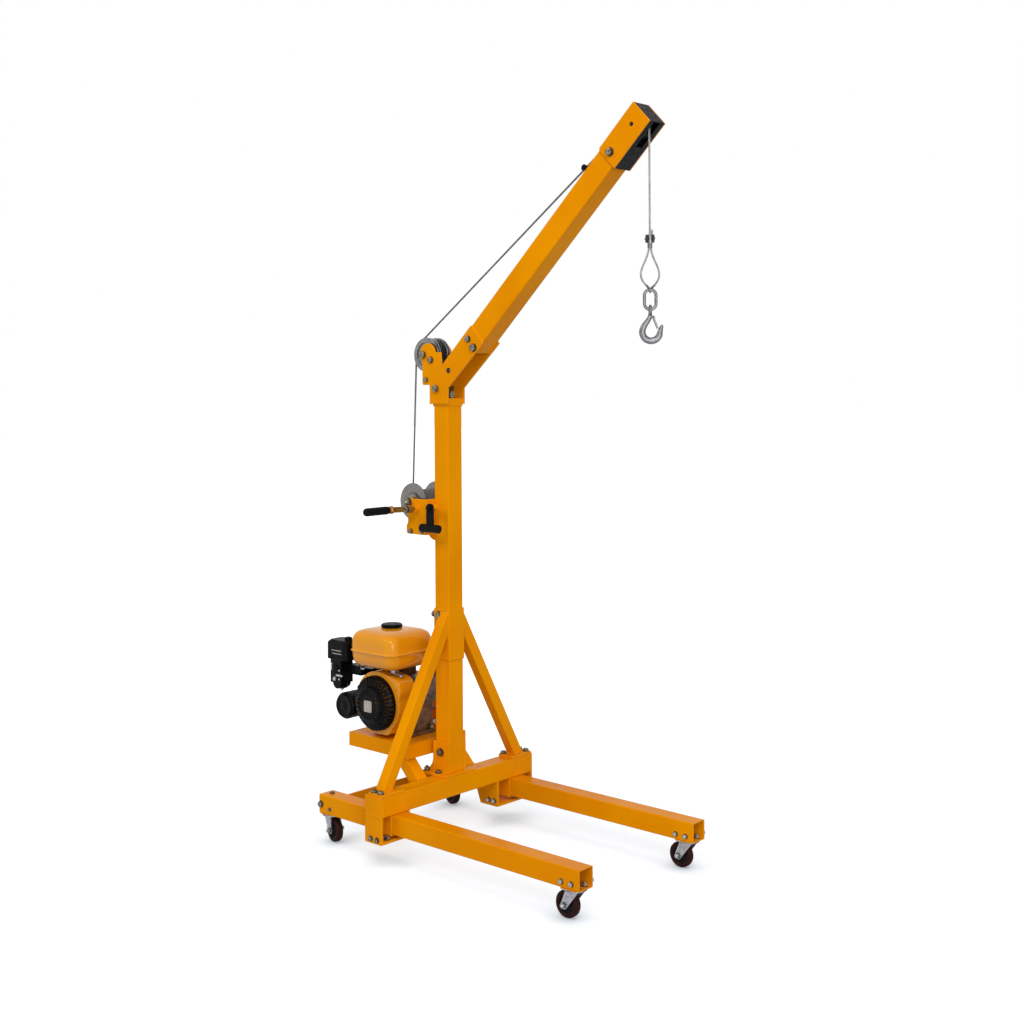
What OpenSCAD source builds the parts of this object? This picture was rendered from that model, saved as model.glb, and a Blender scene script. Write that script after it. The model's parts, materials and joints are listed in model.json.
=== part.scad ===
// Portable mini crane: wheeled base with two long legs, braced mast, engine on a
// platform behind it, hand winch, fixed boom with a sheave at its tip, and a hook.
// X runs forward along the legs, Y to the crane's left, Z up. The floor is at Z = 0.

/* [Undercarriage] */
// Reach of the legs in front of the mast's axis
leg_front = 765; // [600:5:1000]
// Reach of the legs behind the mast's axis
leg_back = 290; // [250:5:400]
// Side of the square leg tubes
leg_size = 58; // [40:1:60]
// Wall of the leg tubes
leg_wall = 3; // [2:0.5:5]
// Distance between the middles of the two legs
leg_spacing = 522; // [420:2:700]
// Running gap between a leg and its sleeve
leg_fit = 0.5; // [0.2:0.1:1]
// Wall of the leg sleeves
sleeve_wall = 3.5; // [2:0.5:5]
// Side of the square crossbeam
beam_size = 60; // [50:1:80]
// Wall of the crossbeam
beam_wall = 3; // [2:0.5:5]
// Overall width across the outer socket plates
base_width = 674; // [600:2:900]
// Thickness of the socket plates
socket_plate = 8; // [5:0.5:12]
// How far the crossbeam's middle lies in front of the mast's axis
beam_forward = 18; // [10:1:25]

/* [Casters] */
// Wheel diameter
wheel_d = 75; // [60:1:100]
// Wheel width
wheel_w = 22; // [16:1:26]
// Height from the floor to the underside of the legs
caster_h = 87.5; // [87:0.5:125]
// Distance of the front axles behind their swivels
caster_trail = 25; // [12:1:34]
// Distance of the rear axles behind their swivels
rear_trail = 14; // [12:1:34]
// Distance of the front swivels from the legs' front ends
front_inset = 37; // [35:1:60]
// Distance of the rear swivels from the legs' rear ends
rear_inset = 31; // [31:1:60]

/* [Mast] */
// Side of the square mast tube
mast_size = 62; // [50:1:64]
// Wall of the mast tube
mast_wall = 3; // [2:0.5:5]
// Length of the mast tube
mast_length = 1167; // [900:1:1500]
// Height of the brace collar's lower edge above the crossbeam
collar_rise = 359; // [250:1:600]
// Length of the brace collar
collar_length = 159; // [100:1:200]
// Side of the square brace tubes
brace_size = 36; // [25:1:40]
// Distance of each brace's foot from the mast's axis
brace_foot = 292; // [240:1:300]

/* [Engine platform] */
// Length of the platform
tray_length = 275; // [240:1:340]
// Width of the platform
tray_width = 260; // [240:1:300]
// Height of the platform's rim
tray_rim = 45; // [25:1:60]
// Height of the platform's top
tray_top = 305; // [290:1:400]
// Gap between the mast's axis and the platform's front edge
tray_gap = 56; // [50:1:80]

/* [Winch] */
// Radius of the drum's flanges
flange_r = 59; // [50:1:64]
// Radius of the drum's barrel
barrel_r = 31; // [22:1:36]
// Inside width between the flanges
drum_width = 100; // [80:1:104]
// Height of the drum's axis
drum_z = 1057; // [950:1:1150]
// Module of the winch gears
gear_module = 2; // [1.75:0.05:2.1]
// Teeth of the drum's gear
gear_teeth = 28; // [26:1:30]
// Teeth of the crank's pinion
pinion_teeth = 9; // [8:1:10]
// Length of the crank arm
crank_length = 75; // [60:1:100]

/* [Boom] */
// Length from the boom's root to the end of its tip plates
boom_length = 1044; // [800:1:1400]
// Angle of the boom above level
boom_angle = 43.6; // [35:0.1:60]
// Height of the boom tube
boom_h = 70; // [60:1:76]
// Width of the boom tube
boom_w = 66; // [60:1:72]
// Wall of the boom tube
boom_wall = 3; // [2:0.5:5]
// Thickness of the head and tip plates
head_plate = 5; // [4:0.5:8]
// Radius of the head sheaves
sheave_r = 54; // [45:1:60]
// Radius of the tip sheave
tip_sheave_r = 38; // [32:0.5:38]

/* [Rope and hook] */
// Diameter of the wire rope
rope_d = 6; // [5:0.5:8]
// Length of rope that hangs between the tip sheave's axle and the clamp
rope_hang = 308; // [260:1:600]
// Length of the rope's eye
eye_length = 123; // [100:1:160]
// Inside height of the link
link_inner = 46; // [40:1:60]
// Thickness of the link's round bar
link_bar = 9; // [7:0.5:9]
// Thickness of the hook's bar
hook_bar = 13; // [10:0.5:16]

/* [Hidden] */
$fn = 64;

// Shared clearances
pin_fit = 0.08;     // radial running fit of a pin in its bore
side_gap = 0.3;     // running gap beside a hub
safe_gap = 5;       // least gap between what moves and what stands still
weld_fit = 0.25;    // fit of a sleeve on the mast
eps = 1;            // overshoot of a cutting tool

// Paint and finishes
paint = "orange";
zinc = "silver";
dark = "dimgray";

// Undercarriage levels and places
leg_top = caster_h + leg_size;
beam_z = leg_top + leg_fit;
beam_top = beam_z + beam_size;
beam_back = beam_forward - beam_size / 2;
beam_front = beam_forward + beam_size / 2;
leg_y = leg_spacing / 2;
leg_inside = leg_y - leg_size / 2;
socket_y = base_width / 2 - socket_plate;
sleeve_out = leg_size / 2 + leg_fit + sleeve_wall;
sleeve_z = caster_h - leg_fit - sleeve_wall;
socket_left = 168;  // inner face of the left socket's inner plate
socket_right = leg_y - sleeve_out - socket_plate;
socket_z = 66;      // underside of the bottom socket plate
cross_x = -268;     // rear edge of the rear cross member
cross_w = 48;       // width of the rear cross member
cross_t = 6;        // thickness of the rear cross member
tube_corner = 3;    // outer corner radius of square tube

// Casters
plate_side = 60;
plate_t = 4;
fork_gap = wheel_w / 2 + safe_gap;
fork_t = 3;
crown_z = wheel_d + safe_gap;
crown_r = 27;
race_r = 33;
king_r = 6;
axle_r = 5;
rear_turn = 13;     // turn of the rear casters at rest
front_swivel = leg_front - front_inset;
rear_swivel = -leg_back + rear_inset;

// Mast
base_plate_t = 8;
mast_z = beam_top + base_plate_t;
mast_top = mast_z + mast_length;
half_mast = mast_size / 2;
cheek_t = 7;
foot_back = -65;
brace_x = 11;       // middle of the braces in front of the mast's axis
collar_z = beam_top + collar_rise;
collar_t = 3;
collar_out = half_mast + weld_fit + collar_t;

// Engine platform
tray_front = -tray_gap;
tray_back = tray_front - tray_length;
tray_plate = 5;
tray_skirt = 4;
tray_inside = tray_width / 2 - tray_skirt;
strut_size = 40;

// Engine, measured from the crankshaft's axis
shaft_x = tray_back + 131;
shaft_z = tray_top + 111;

shroud_front = -125;
shroud_back = -57;
shroud_r = 100;
recoil_r = 87;
lean_angle = 25;
tank_z = shaft_z + 112;
tank_l = 212;
tank_w = 208;
tank_x = shaft_x + 2;
tank_y = -62;
tank_round = 40;
tank_seam = 50;     // height of the seam above the tank's underside
tank_h = 120;
tank_top_z = tank_z + tank_h;
cap_x = tank_x;
cap_y = tank_y;
cleaner_front = shaft_x - 110;
cleaner_back = shaft_x - 206;
cleaner_y = -127;
cleaner_z = tank_z + 10;
cleaner_h = 62;
carb_h = 78;
housing_x = shaft_x - 148;
housing_y = -80;
housing_z = shaft_z - 30;

// Winch
gear_line = 30.7;
gear_pitch_r = gear_module * gear_teeth / 2;
pinion_pitch_r = gear_module * pinion_teeth / 2;
gear_centres = gear_pitch_r + pinion_pitch_r;
winch_plate_t = 4;
winch_back_t = 6;
drum_x = -half_mast - winch_back_t - safe_gap - 4 - flange_r;
crank_x = drum_x + gear_centres * cos(gear_line);
crank_z = drum_z - gear_centres * sin(gear_line);
flange_t = 3;
gear_w = 6;
flange_out = drum_width / 2 + flange_t;
winch_in = flange_out + gear_w + safe_gap;
winch_out = winch_in + winch_plate_t;
winch_top = drum_z + 11;
winch_low = winch_top - 112;
winch_rear = drum_x - 8;
drum_shaft_r = 8;
crank_shaft_r = 5.5;
sheave_y = 21;
rope_y = -sheave_y; // the run of rope up the mast lies to the right
rope_pitch = rope_d + 0.15;
wound_r = barrel_r + rope_d / 2 + side_gap;
grip_r = 13;
grip_length = 106;
handle_x = 5;
handle_z = drum_z - 12;
handle_y = -winch_out - safe_gap - grip_r;
crank_arm_t = 6;
crank_arm_y = handle_y - grip_r - safe_gap - crank_arm_t;
crank_drop = -5;

// Head and boom
boom_x = 11;
boom_z = mast_top + 107;
root_gap = 125;     // length of the head in front of the boom tube
axle_x = -69;
axle_z = mast_top + 142;
plate_in = boom_w / 2;
plate_out = plate_in + head_plate;
sheave_w = 14;
groove_depth = rope_d / 2 + 1;
sheave_rope_r = sheave_r - groove_depth;
tip_rope_r = tip_sheave_r - groove_depth;
tip_u = boom_length - 47;
tip_v = -38;
tip_plate_t = 4;
tip_start = boom_length - 172;
boom_end = boom_length - 114;
liner_t = 3;
tip_pin_r = 6;
axle_pin_r = 8;
lock_x = 41;
lock_rise = 91;
lock_r = 7;
head_pin_places = [[axle_x, axle_z, axle_pin_r, 12], [-12, mast_top + 35, 7, 8],
  [-57, mast_top + 63, 5, 5]];
tip_low = -80;
tip_x = boom_x + tip_u * cos(boom_angle) - tip_v * sin(boom_angle);
tip_z = boom_z + tip_u * sin(boom_angle) + tip_v * cos(boom_angle);
roller_u = boom_length - 244;
roller_r = 8;
roller_v = 9;

// Rope and hook
hook_turn = 42;     // turn of the hook line about the rope
hang_x = tip_x + tip_rope_r;
clamp_top = tip_z - rope_hang;
clamp_h = 22;
neck_h = 14;
eye_top = clamp_top - clamp_h - neck_h;
eye_low = eye_top - eye_length;
bight_r = rope_d / 2 + link_bar / 2 + side_gap;
link_top = eye_low + bight_r;
link_w = 41;
link_h = link_inner + link_bar;
link_low = link_top - link_h;
eye_swell = 24.5;
eye_r = 11;         // bend of the hook's own eye
eye_bar = 4.5;
hook_eye = link_low + link_bar / 2 + side_gap - eye_r + eye_bar;
latch_u = 8;
latch_v = -20;
latch_length = 34;
latch_lean = -22.2;

// The middle of the whole crane is at X = 0
front_end = boom_x + boom_length * cos(boom_angle) - tip_low * sin(boom_angle);
mast_x = -(front_end + cleaner_back) / 2;

module at_mast() translate([mast_x, 0, 0]) children();

// Flat and tube helpers
module rounded_rect(size, r) {
  square([size[0] - 2 * r, size[1]], center = true);
  square([size[0], size[1] - 2 * r], center = true);
  for (x = [-1, 1], y = [-1, 1])
    translate([x * (size[0] / 2 - r), y * (size[1] / 2 - r)])
      circle(r);
}

module tube_section(w, h, wall) {
  difference() {
    rounded_rect([w, h], tube_corner);
    rounded_rect([w - 2 * wall, h - 2 * wall], max(tube_corner - wall, 0.5));
  }
}

// Tube along +X from the origin, w across Y and h along Z
module tube_x(length, w, h, wall) {
  rotate([0, 90, 0])
    linear_extrude(length)
      tube_section(h, w, wall);
}

// Outline drawn in X and Z, as a plate between y0 and y1
module plate_xz(y0, y1) {
  translate([0, y1, 0])
    rotate([90, 0, 0])
      linear_extrude(y1 - y0)
        children();
}

// Rod along Y
module rod_y(x, z, y0, y1, r) {
  translate([x, y1, z])
    rotate([90, 0, 0])
      cylinder(h = y1 - y0, r = r);
}

// Undercarriage
module leg(side) {
  color(paint)
    at_mast()
      translate([-leg_back, side * leg_y, caster_h + leg_size / 2])
        tube_x(leg_back + leg_front, leg_size, leg_size, leg_wall);
}

module leg_left() leg(1);
module leg_right() leg(-1);

// Crossbeam with a channel under each end, which holds the leg up against the beam
module crossbeam() {
  color(paint)
    at_mast()
      union() {
        translate([beam_forward, socket_y, beam_z + beam_size / 2])
          rotate([90, 0, 0])
            linear_extrude(2 * socket_y)
              tube_section(beam_size, beam_size, beam_wall);
        for (s = [-1, 1])
          translate([beam_back + tube_corner, s * leg_y, 0])
            difference() {
              translate([0, -sleeve_out, sleeve_z])
                cube([beam_size - 2 * tube_corner, 2 * sleeve_out, beam_z - sleeve_z]);
              translate([-eps, -leg_size / 2 - leg_fit, sleeve_z + sleeve_wall])
                cube([beam_size, leg_size + 2 * leg_fit, leg_size + 2 * leg_fit]);
            }
      }
}

// Steel angle between the legs, with its upright in front
module rear_cross_member() {
  color(paint)
    at_mast()
      plate_xz(-leg_inside, leg_inside)
        polygon([[cross_x, caster_h], [cross_x + cross_w, caster_h],
          [cross_x + cross_w, leg_top - 2], [cross_x + cross_w - cross_t, leg_top - 2],
          [cross_x + cross_w - cross_t, caster_h + cross_t], [cross_x, caster_h + cross_t]]);
}

// Bracket round a leg: an end plate on the crossbeam, a floor plate and an inner plate
module leg_sockets() {
  color(paint)
    at_mast()
      for (m = [0, 1])
        mirror([0, m, 0]) {
          inner = m == 0 ? socket_left : socket_right;
          translate([beam_back - 12, socket_y, socket_z])
            cube([beam_size + 12, socket_plate, beam_top - socket_z]);
          translate([beam_back - 15, inner, socket_z])
            cube([beam_size + 15, socket_y - inner, socket_plate]);
          plate_xz(inner, inner + socket_plate)
            polygon([[beam_front, socket_z], [beam_front, beam_z], [beam_back - 45, beam_z],
              [beam_back - 45, beam_z - 4], [beam_back - 15, socket_z]]);
        }
}

// Casters, drawn about the swivel's axis with the wheel towards -X
module at_caster(front, side) {
  at_mast()
    translate([front ? front_swivel : rear_swivel, side * leg_y, 0])
      rotate([0, 0, front ? 0 : 180 - rear_turn])
        children();
}

module caster_plate() {
  translate([0, 0, caster_h - plate_t])
    linear_extrude(plate_t)
      rounded_rect([plate_side, plate_side], 5);
  translate([0, 0, crown_z - side_gap])
    cylinder(h = caster_h - plate_t - crown_z + side_gap, r = king_r);
  translate([0, 0, crown_z - side_gap - 3])
    cylinder(h = 3, r = king_r + 2);
}

module caster_plates() {
  color(zinc)
    for (front = [true, false], side = [-1, 1])
      at_caster(front, side)
        caster_plate();
}

module caster_fork(trail) {
  race_top = caster_h - plate_t - side_gap;
  color(zinc)
    union() {
      difference() {
        union() {
          translate([0, 0, crown_z])
            cylinder(h = 2.5, r = crown_r);
          rotate_extrude()
            polygon([[0, crown_z + 1.5], [crown_r - 2, crown_z + 1.5], [race_r, race_top - 1.2],
              [race_r, race_top], [0, race_top]]);
        }
        translate([0, 0, crown_z - eps])
          cylinder(h = race_top - crown_z + 2 * eps, r = king_r + pin_fit);
      }
      for (s = [-1, 1])
        plate_xz(s * (fork_gap + fork_t / 2) - fork_t / 2, s * (fork_gap + fork_t / 2) + fork_t / 2) {
          polygon([[-18, crown_z + 1], [18, crown_z + 1], [18, crown_z - 6],
            [-trail + 10, wheel_d / 2 - 5], [-trail - 11, wheel_d / 2],
            [-trail - 8, wheel_d / 2 + 8]]);
          translate([-trail, wheel_d / 2])
            circle(11);
        }
      rod_y(-trail, wheel_d / 2, -fork_gap - fork_t - 4, fork_gap + fork_t + 4, axle_r);
    }
}

module wheel(trail) {
  hub_half = fork_gap - side_gap;
  color(dark)
    translate([-trail, 0, wheel_d / 2])
      rotate([90, 0, 0])
        rotate_extrude() {
          translate([axle_r + pin_fit, -hub_half])
            square([5, 2 * hub_half]);
          translate([axle_r + pin_fit, -5])
            square([wheel_d / 2 - 12 - axle_r, 10]);
          translate([wheel_d / 2 - 6.5, 0])
            rounded_rect([13, wheel_w], 4);
        }
}

module caster_fork_front_left() at_caster(true, 1) caster_fork(caster_trail);
module caster_fork_front_right() at_caster(true, -1) caster_fork(caster_trail);
module caster_fork_rear_left() at_caster(false, 1) caster_fork(rear_trail);
module caster_fork_rear_right() at_caster(false, -1) caster_fork(rear_trail);
module wheel_front_left() at_caster(true, 1) wheel(caster_trail);
module wheel_front_right() at_caster(true, -1) wheel(caster_trail);
module wheel_rear_left() at_caster(false, 1) wheel(rear_trail);
module wheel_rear_right() at_caster(false, -1) wheel(rear_trail);

// Mast
module mast_foot() {
  flare = mast_z + 40;
  color(paint)
    at_mast()
      union() {
        translate([foot_back, -65, beam_top])
          cube([beam_front - foot_back, 130, base_plate_t]);
        for (s = [-1, 1])
          plate_xz(s * (half_mast + cheek_t / 2) - cheek_t / 2, s * (half_mast + cheek_t / 2) + cheek_t / 2)
            difference() {
              polygon([[half_mast, mast_z], [foot_back, mast_z], [foot_back, flare],
                [-half_mast - 6, flare], [-half_mast - 6, mast_z + 94], [half_mast, mast_z + 94]]);
              translate([-half_mast - 46, flare])
                circle(40);
            }
      }
}

module mast() {
  color(paint)
    at_mast()
      translate([0, 0, mast_z])
        linear_extrude(mast_length)
          tube_section(mast_size, mast_size, mast_wall);
}

module mast_collar() {
  color(paint)
    at_mast()
      translate([0, 0, collar_z])
        linear_extrude(collar_length)
          difference() {
            rounded_rect([2 * collar_out, 2 * collar_out], tube_corner);
            square(mast_size + 2 * weld_fit, center = true);
          }
}

// A brace leans from its flange on the crossbeam to the collar's side
module brace(side) {
  foot_z = beam_top + base_plate_t;
  rise = collar_z + 115 - foot_z;
  run = brace_foot - collar_out;
  lean = atan2(run, rise);
  color(paint)
    at_mast()
      mirror([0, side < 0 ? 1 : 0, 0])
        union() {
          translate([beam_forward - 30, brace_foot - 52, beam_top])
            cube([60, 93, base_plate_t]);
          intersection() {
            translate([brace_x, brace_foot, foot_z])
              rotate([lean, 0, 0])
                translate([0, 0, -60])
                  linear_extrude(rise / cos(lean) + 120)
                    tube_section(brace_size, brace_size, 2.5);
            translate([-half_mast, collar_out, foot_z])
              cube([mast_size + 60, brace_foot + 60, rise + 80]);
          }
        }
}

module brace_left() brace(1);
module brace_right() brace(-1);

// Engine platform: a tray open below, on two struts from the crossbeam
module platform() {
  color(paint)
    at_mast()
      difference() {
        translate([tray_back, -tray_width / 2, tray_top - tray_rim])
          cube([tray_length, tray_width, tray_rim]);
        translate([tray_back + tray_skirt, -tray_inside, tray_top - tray_rim - eps])
          cube([tray_length - 2 * tray_skirt, 2 * tray_inside, tray_rim - tray_plate + eps]);
      }
}

module platform_struts() {
  low = beam_top - strut_size * 0.75;
  high = tray_top - tray_plate;
  color(paint)
    at_mast()
      for (s = [-1, 1])
        intersection() {
          translate([beam_back, s * (tray_inside - strut_size / 2), low])
            rotate([0, 45, 0])
              translate([-320, 0, 0])
                tube_x(380, strut_size, strut_size, 2.5);
          translate([tray_back, -tray_width / 2, beam_z])
            cube([beam_back - tray_back, tray_width, high - beam_z]);
        }
}

// Engine
module crankcase() {
  color(dark)
    at_mast()
      union() {
        translate([shaft_x - 92, shroud_back + 1, tray_top])
          cube([178, 49 - shroud_back, 12]);
        translate([shaft_x - 80, -55, tray_top])
          cube([150, 105, 118]);
        rod_y(shaft_x, shaft_z, -55, 50, 76);
        for (x = [-62, 10])
          translate([shaft_x + x, -45, shaft_z])
            cube([24, 60, tank_z - shaft_z]);
      }
}

// Finned cylinder, leaning to the front, with its head cover
module cylinder_block() {
  color("lightgray")
    at_mast()
      translate([shaft_x, 0, shaft_z])
        rotate([0, 90 - lean_angle, 0])
          difference() {
            union() {
              translate([0, -10, 60])
                cylinder(h = 62, r = 36);
              for (i = [0:6])
                translate([0, -10, 79 + i * 7])
                  linear_extrude(2.4)
                    rounded_rect([92, 84], 12);
              translate([0, -10, 122])
                linear_extrude(16)
                  rounded_rect([64, 76], 14);
            }
            rotate([90, 0, 0])
              translate([0, 0, -60])
                cylinder(h = 130, r = 76.3);
          }
}

function corner(c, r, a, b, n) =
  [for (i = [0:n]) let (t = a + (b - a) * i / n) [shaft_x + c[0] + r * cos(t), shaft_z + c[1] + r * sin(t)]];

// Fan shroud: round about the shaft, with a bulge to the front where the air goes out
module fan_shroud() {
  foot = tray_top + 13 - shaft_z;
  color("gold")
    at_mast()
      difference() {
        union() {
          rod_y(shaft_x, shaft_z, shroud_front, shroud_back, shroud_r);
          plate_xz(shroud_front, shroud_back)
            polygon(concat([[shaft_x - 60, shaft_z + foot]],
              corner([38, foot + 26], 26, -90, -19.4, 5), corner([66, 48], 40, -19.4, 78.7, 8),
              [[shaft_x + shroud_r * cos(78.7), shaft_z + shroud_r * sin(78.7)]]));
        }
        rod_y(shaft_x, shaft_z, shroud_front - eps, shroud_front + 6, recoil_r - 4);
      }
}

// Recoil starter cover: a moulded shell with a louvred ring and a raised slotted middle
module recoil_cover() {
  face = 40;
  rim = recoil_r;
  color(dark)
    at_mast()
      translate([shaft_x, shroud_front, shaft_z])
        rotate([90, 0, 0])
          union() {
            difference() {
              rotate_extrude()
                polygon([[10, face], [49, face], [55, face - 3], [58, face - 12], [rim - 7, face - 18],
                  [rim - 1, face - 25], [rim, 0], [rim - 3, 0], [rim - 4, face - 26],
                  [rim - 9, face - 21], [55, face - 15], [52, face - 5], [48, face - 3], [10, face - 3]]);
              for (i = [0:19])
                rotate([0, 0, i * 18])
                  translate([30, -1.8, face - 8])
                    cube([19, 3.6, 12]);
              for (i = [0:35])
                rotate([0, 0, i * 10 + 5])
                  translate([62, -2, 6])
                    cube([40, 4, face]);
            }
            cylinder(h = face - 2, r = 14);
            translate([0, 0, face - 14])
              cylinder(h = 3, r = 46);
          }
}

module tank_slab(grow, z, h) {
  translate([tank_x, tank_y, z])
    linear_extrude(h)
      rounded_rect([tank_l + 2 * grow, tank_w + 2 * grow], tank_round, $fn = 32);
}

// Fuel tank: a tapered lower half, a seam flange and a domed upper half
module fuel_tank() {
  seam_z = tank_z + tank_seam;
  color("gold")
    at_mast()
      union() {
        hull() {
          tank_slab(-20, tank_z, 1);
          tank_slab(-9, tank_z + 9, 1);
          tank_slab(-3, seam_z - 1, 1);
        }
        tank_slab(0, seam_z, 3);
        hull() {
          tank_slab(-3, seam_z + 3, 24);
          tank_slab(-6, tank_top_z - 27, 1);
          tank_slab(-14, tank_top_z - 14, 1);
          tank_slab(-30, tank_top_z - 5, 1);
          tank_slab(-50, tank_top_z - 1, 1);
        }
      }
}

module tank_cap() {
  color(dark)
    at_mast()
      translate([cap_x, cap_y, tank_top_z])
        difference() {
          rotate_extrude()
            polygon([[0, 0], [31, 0], [31, 1.5], [34, 2.5], [34.5, 9], [31, 12.5], [12, 14], [0, 14]]);
          for (i = [0:11])
            rotate([0, 0, i * 30])
              translate([36.5, 0, 2])
                cylinder(h = 20, r = 4, $fn = 24);
        }
}

module air_cleaner() {
  middle = (cleaner_back + cleaner_front) / 2;
  long = cleaner_front - cleaner_back;
  color(dark)
    at_mast()
      union() {
        translate([middle, cleaner_y, cleaner_z])
          linear_extrude(cleaner_h - 8)
            rounded_rect([long, 70], 14);
        translate([middle, cleaner_y, cleaner_z + cleaner_h - 8])
          linear_extrude(4)
            rounded_rect([long - 5, 65], 13);
        translate([middle, cleaner_y, cleaner_z + cleaner_h - 4])
          linear_extrude(4)
            rounded_rect([long - 14, 56], 12);
        translate([cleaner_front - 25, cleaner_y, cleaner_z + cleaner_h])
          cylinder(h = 10, r = 11);
      }
}

module carburettor() {
  low = cleaner_z - carb_h;
  duct = cleaner_z - 48;
  color(dark)
    at_mast()
      union() {
        translate([cleaner_back + 10, cleaner_y - 25, low])
          cube([52, 52, carb_h]);
        rod_y(cleaner_back + 36, low, cleaner_y - 20, cleaner_y + 24, 20);
        translate([cleaner_back + 62, cleaner_y + 5, duct])
          cube([shaft_x - 98 - cleaner_back - 62, 30, 30]);
        translate([shaft_x - 104, cleaner_y + 5, duct])
          cube([24, -20 - cleaner_y - 5, 30]);
        translate([shaft_x - 104, -44, duct])
          cube([42, 24, 30]);
      }
}

// Round black housing beside the recoil cover
module round_housing() {
  color(dark)
    at_mast()
      union() {
        translate([housing_x, housing_y, housing_z])
          rotate([90, 0, 0])
            rotate_extrude()
              polygon([[0, 0], [43, 0], [43, 50], [38, 56], [16, 58], [0, 58]]);
        difference() {
          translate([housing_x + 30, housing_y - 30, housing_z - 14])
            cube([shaft_x - shroud_r - housing_x - 20, 30, 28]);
          rod_y(shaft_x, shaft_z, housing_y - 40, housing_y + 10, shroud_r + 0.05);
        }
      }
}

module silencer() {
  color(dark)
    at_mast()
      union() {
        translate([shaft_x + 92, 72, shaft_z + 78])
          rotate([90, 0, 0])
            linear_extrude(64, center = true)
              rounded_rect([72, 62], 14);
        translate([shaft_x + 80, 32, shaft_z + 60])
          cube([24, 8, 24]);
      }
}

module gearbox() {
  color("darkorange")
    at_mast()
      union() {
        rod_y(shaft_x, shaft_z - 12, 50, 66, 62);
        rod_y(shaft_x, shaft_z - 12, 66, 112, 50);
        translate([shaft_x - 46, 58, tray_top])
          cube([92, 46, 60]);
        rod_y(shaft_x, shaft_z - 12, 112, 124, 12);
      }
}

// Winch
module gear_outline(teeth, tip, root) {
  pitch = gear_module * teeth / 2;
  step = 360 / teeth;
  circle(pitch - root);
  for (i = [0:teeth - 1])
    rotate(i * step)
      polygon([[pitch - root - 1, -gear_module * 0.95], [pitch, -gear_module * 0.7],
        [pitch + tip, -gear_module * 0.3], [pitch + tip, gear_module * 0.3],
        [pitch, gear_module * 0.7], [pitch - root - 1, gear_module * 0.95]]);
}

module winch_frame() {
  boss = 14;
  lug_r = 12;
  color(paint)
    at_mast()
      difference() {
        union() {
          translate([-half_mast - winch_back_t, -winch_out, winch_low])
            cube([winch_back_t, 2 * winch_out, winch_top - winch_low]);
          for (s = [-1, 1])
            plate_xz(s * (winch_in + winch_plate_t / 2) - winch_plate_t / 2,
              s * (winch_in + winch_plate_t / 2) + winch_plate_t / 2)
              polygon([[winch_rear - 2, winch_low], [-half_mast - winch_back_t, winch_low],
                [-half_mast - winch_back_t, winch_top], [winch_rear, winch_top],
                [winch_rear, winch_low + 38], [winch_rear - 7, winch_low + 24], [winch_rear - 7, winch_low + 5]]);
          plate_xz(-winch_out, -winch_in)
            union() {
              translate([handle_x, handle_z])
                circle(lug_r);
              translate([-half_mast - winch_back_t, handle_z - lug_r])
                square([handle_x + half_mast + winch_back_t, 2 * lug_r]);
            }
          translate([winch_rear, -winch_out, winch_low])
            cube([-half_mast - winch_back_t - winch_rear, 2 * winch_out, 4]);
          rod_y(crank_x, crank_z, -winch_out - 14, -winch_in, 13);
          rod_y(drum_x, drum_z, -winch_out - 3, -flange_out - gear_w - side_gap, boss);
          rod_y(drum_x, drum_z, flange_out + side_gap, winch_out + 3, boss);
        }
        rod_y(drum_x, drum_z, -winch_out - 20, winch_out + 20, drum_shaft_r + pin_fit);
        rod_y(crank_x, crank_z, -winch_out - 20, 0, crank_shaft_r + pin_fit);
      }
}

module winch_drum() {
  color(zinc)
    at_mast()
      translate([drum_x, 0, drum_z])
        rotate([90, 0, 0])
          union() {
            translate([0, 0, -flange_out])
              cylinder(h = flange_t, r = flange_r);
            translate([0, 0, drum_width / 2])
              cylinder(h = flange_t, r = flange_r);
            translate([0, 0, -drum_width / 2])
              cylinder(h = drum_width, r = barrel_r);
            translate([0, 0, flange_out])
              linear_extrude(gear_w)
                rotate(-gear_line)
                  gear_outline(gear_teeth, gear_module * 0.8, gear_module * 1.2);
            translate([0, 0, -winch_out - 8])
              cylinder(h = 2 * winch_out + 16, r = drum_shaft_r);
          }
}

// Rope wound on the drum, with a free place where the standing rope leaves it
module wound_rope() {
  room = drum_width / 2 - rope_d / 2 - 0.5;
  color("gray")
    at_mast()
      translate([drum_x, rope_y, drum_z])
        rotate([90, 0, 0])
          for (s = [-1, 1]) {
            turns = floor((room + s * rope_y) / rope_pitch);
            rotate_extrude() {
              translate([barrel_r, s < 0 ? -(turns * rope_pitch + 1) : rope_pitch - 1])
                square([rope_d / 2, (turns - 1) * rope_pitch + 2]);
              for (i = [1:turns])
                translate([barrel_r + rope_d / 2, s * i * rope_pitch])
                  circle(rope_d / 2);
            }
          }
}

module crank() {
  hub_y = crank_arm_y + 14;
  color(paint)
    at_mast()
      union() {
        translate([crank_x, -flange_out - 1, crank_z])
          rotate([90, 0, 0])
            linear_extrude(gear_w - 1)
              rotate(-gear_line)
                gear_outline(pinion_teeth, gear_module * 0.8, gear_module * 1.2);
        rod_y(crank_x, crank_z, crank_arm_y, -flange_out - 1, crank_shaft_r);
        rod_y(crank_x, crank_z, crank_arm_y, hub_y, 13);
        translate([crank_x, crank_arm_y, crank_z])
          rotate([0, crank_drop, 0])
            union() {
              translate([-crank_length, 0, -9])
                cube([crank_length, crank_arm_t, 18]);
              rod_y(-crank_length, 0, 0, crank_arm_t, 9);
              rod_y(-crank_length, 0, -grip_length + 8, 0, 5);
            }
      }
}

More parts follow.
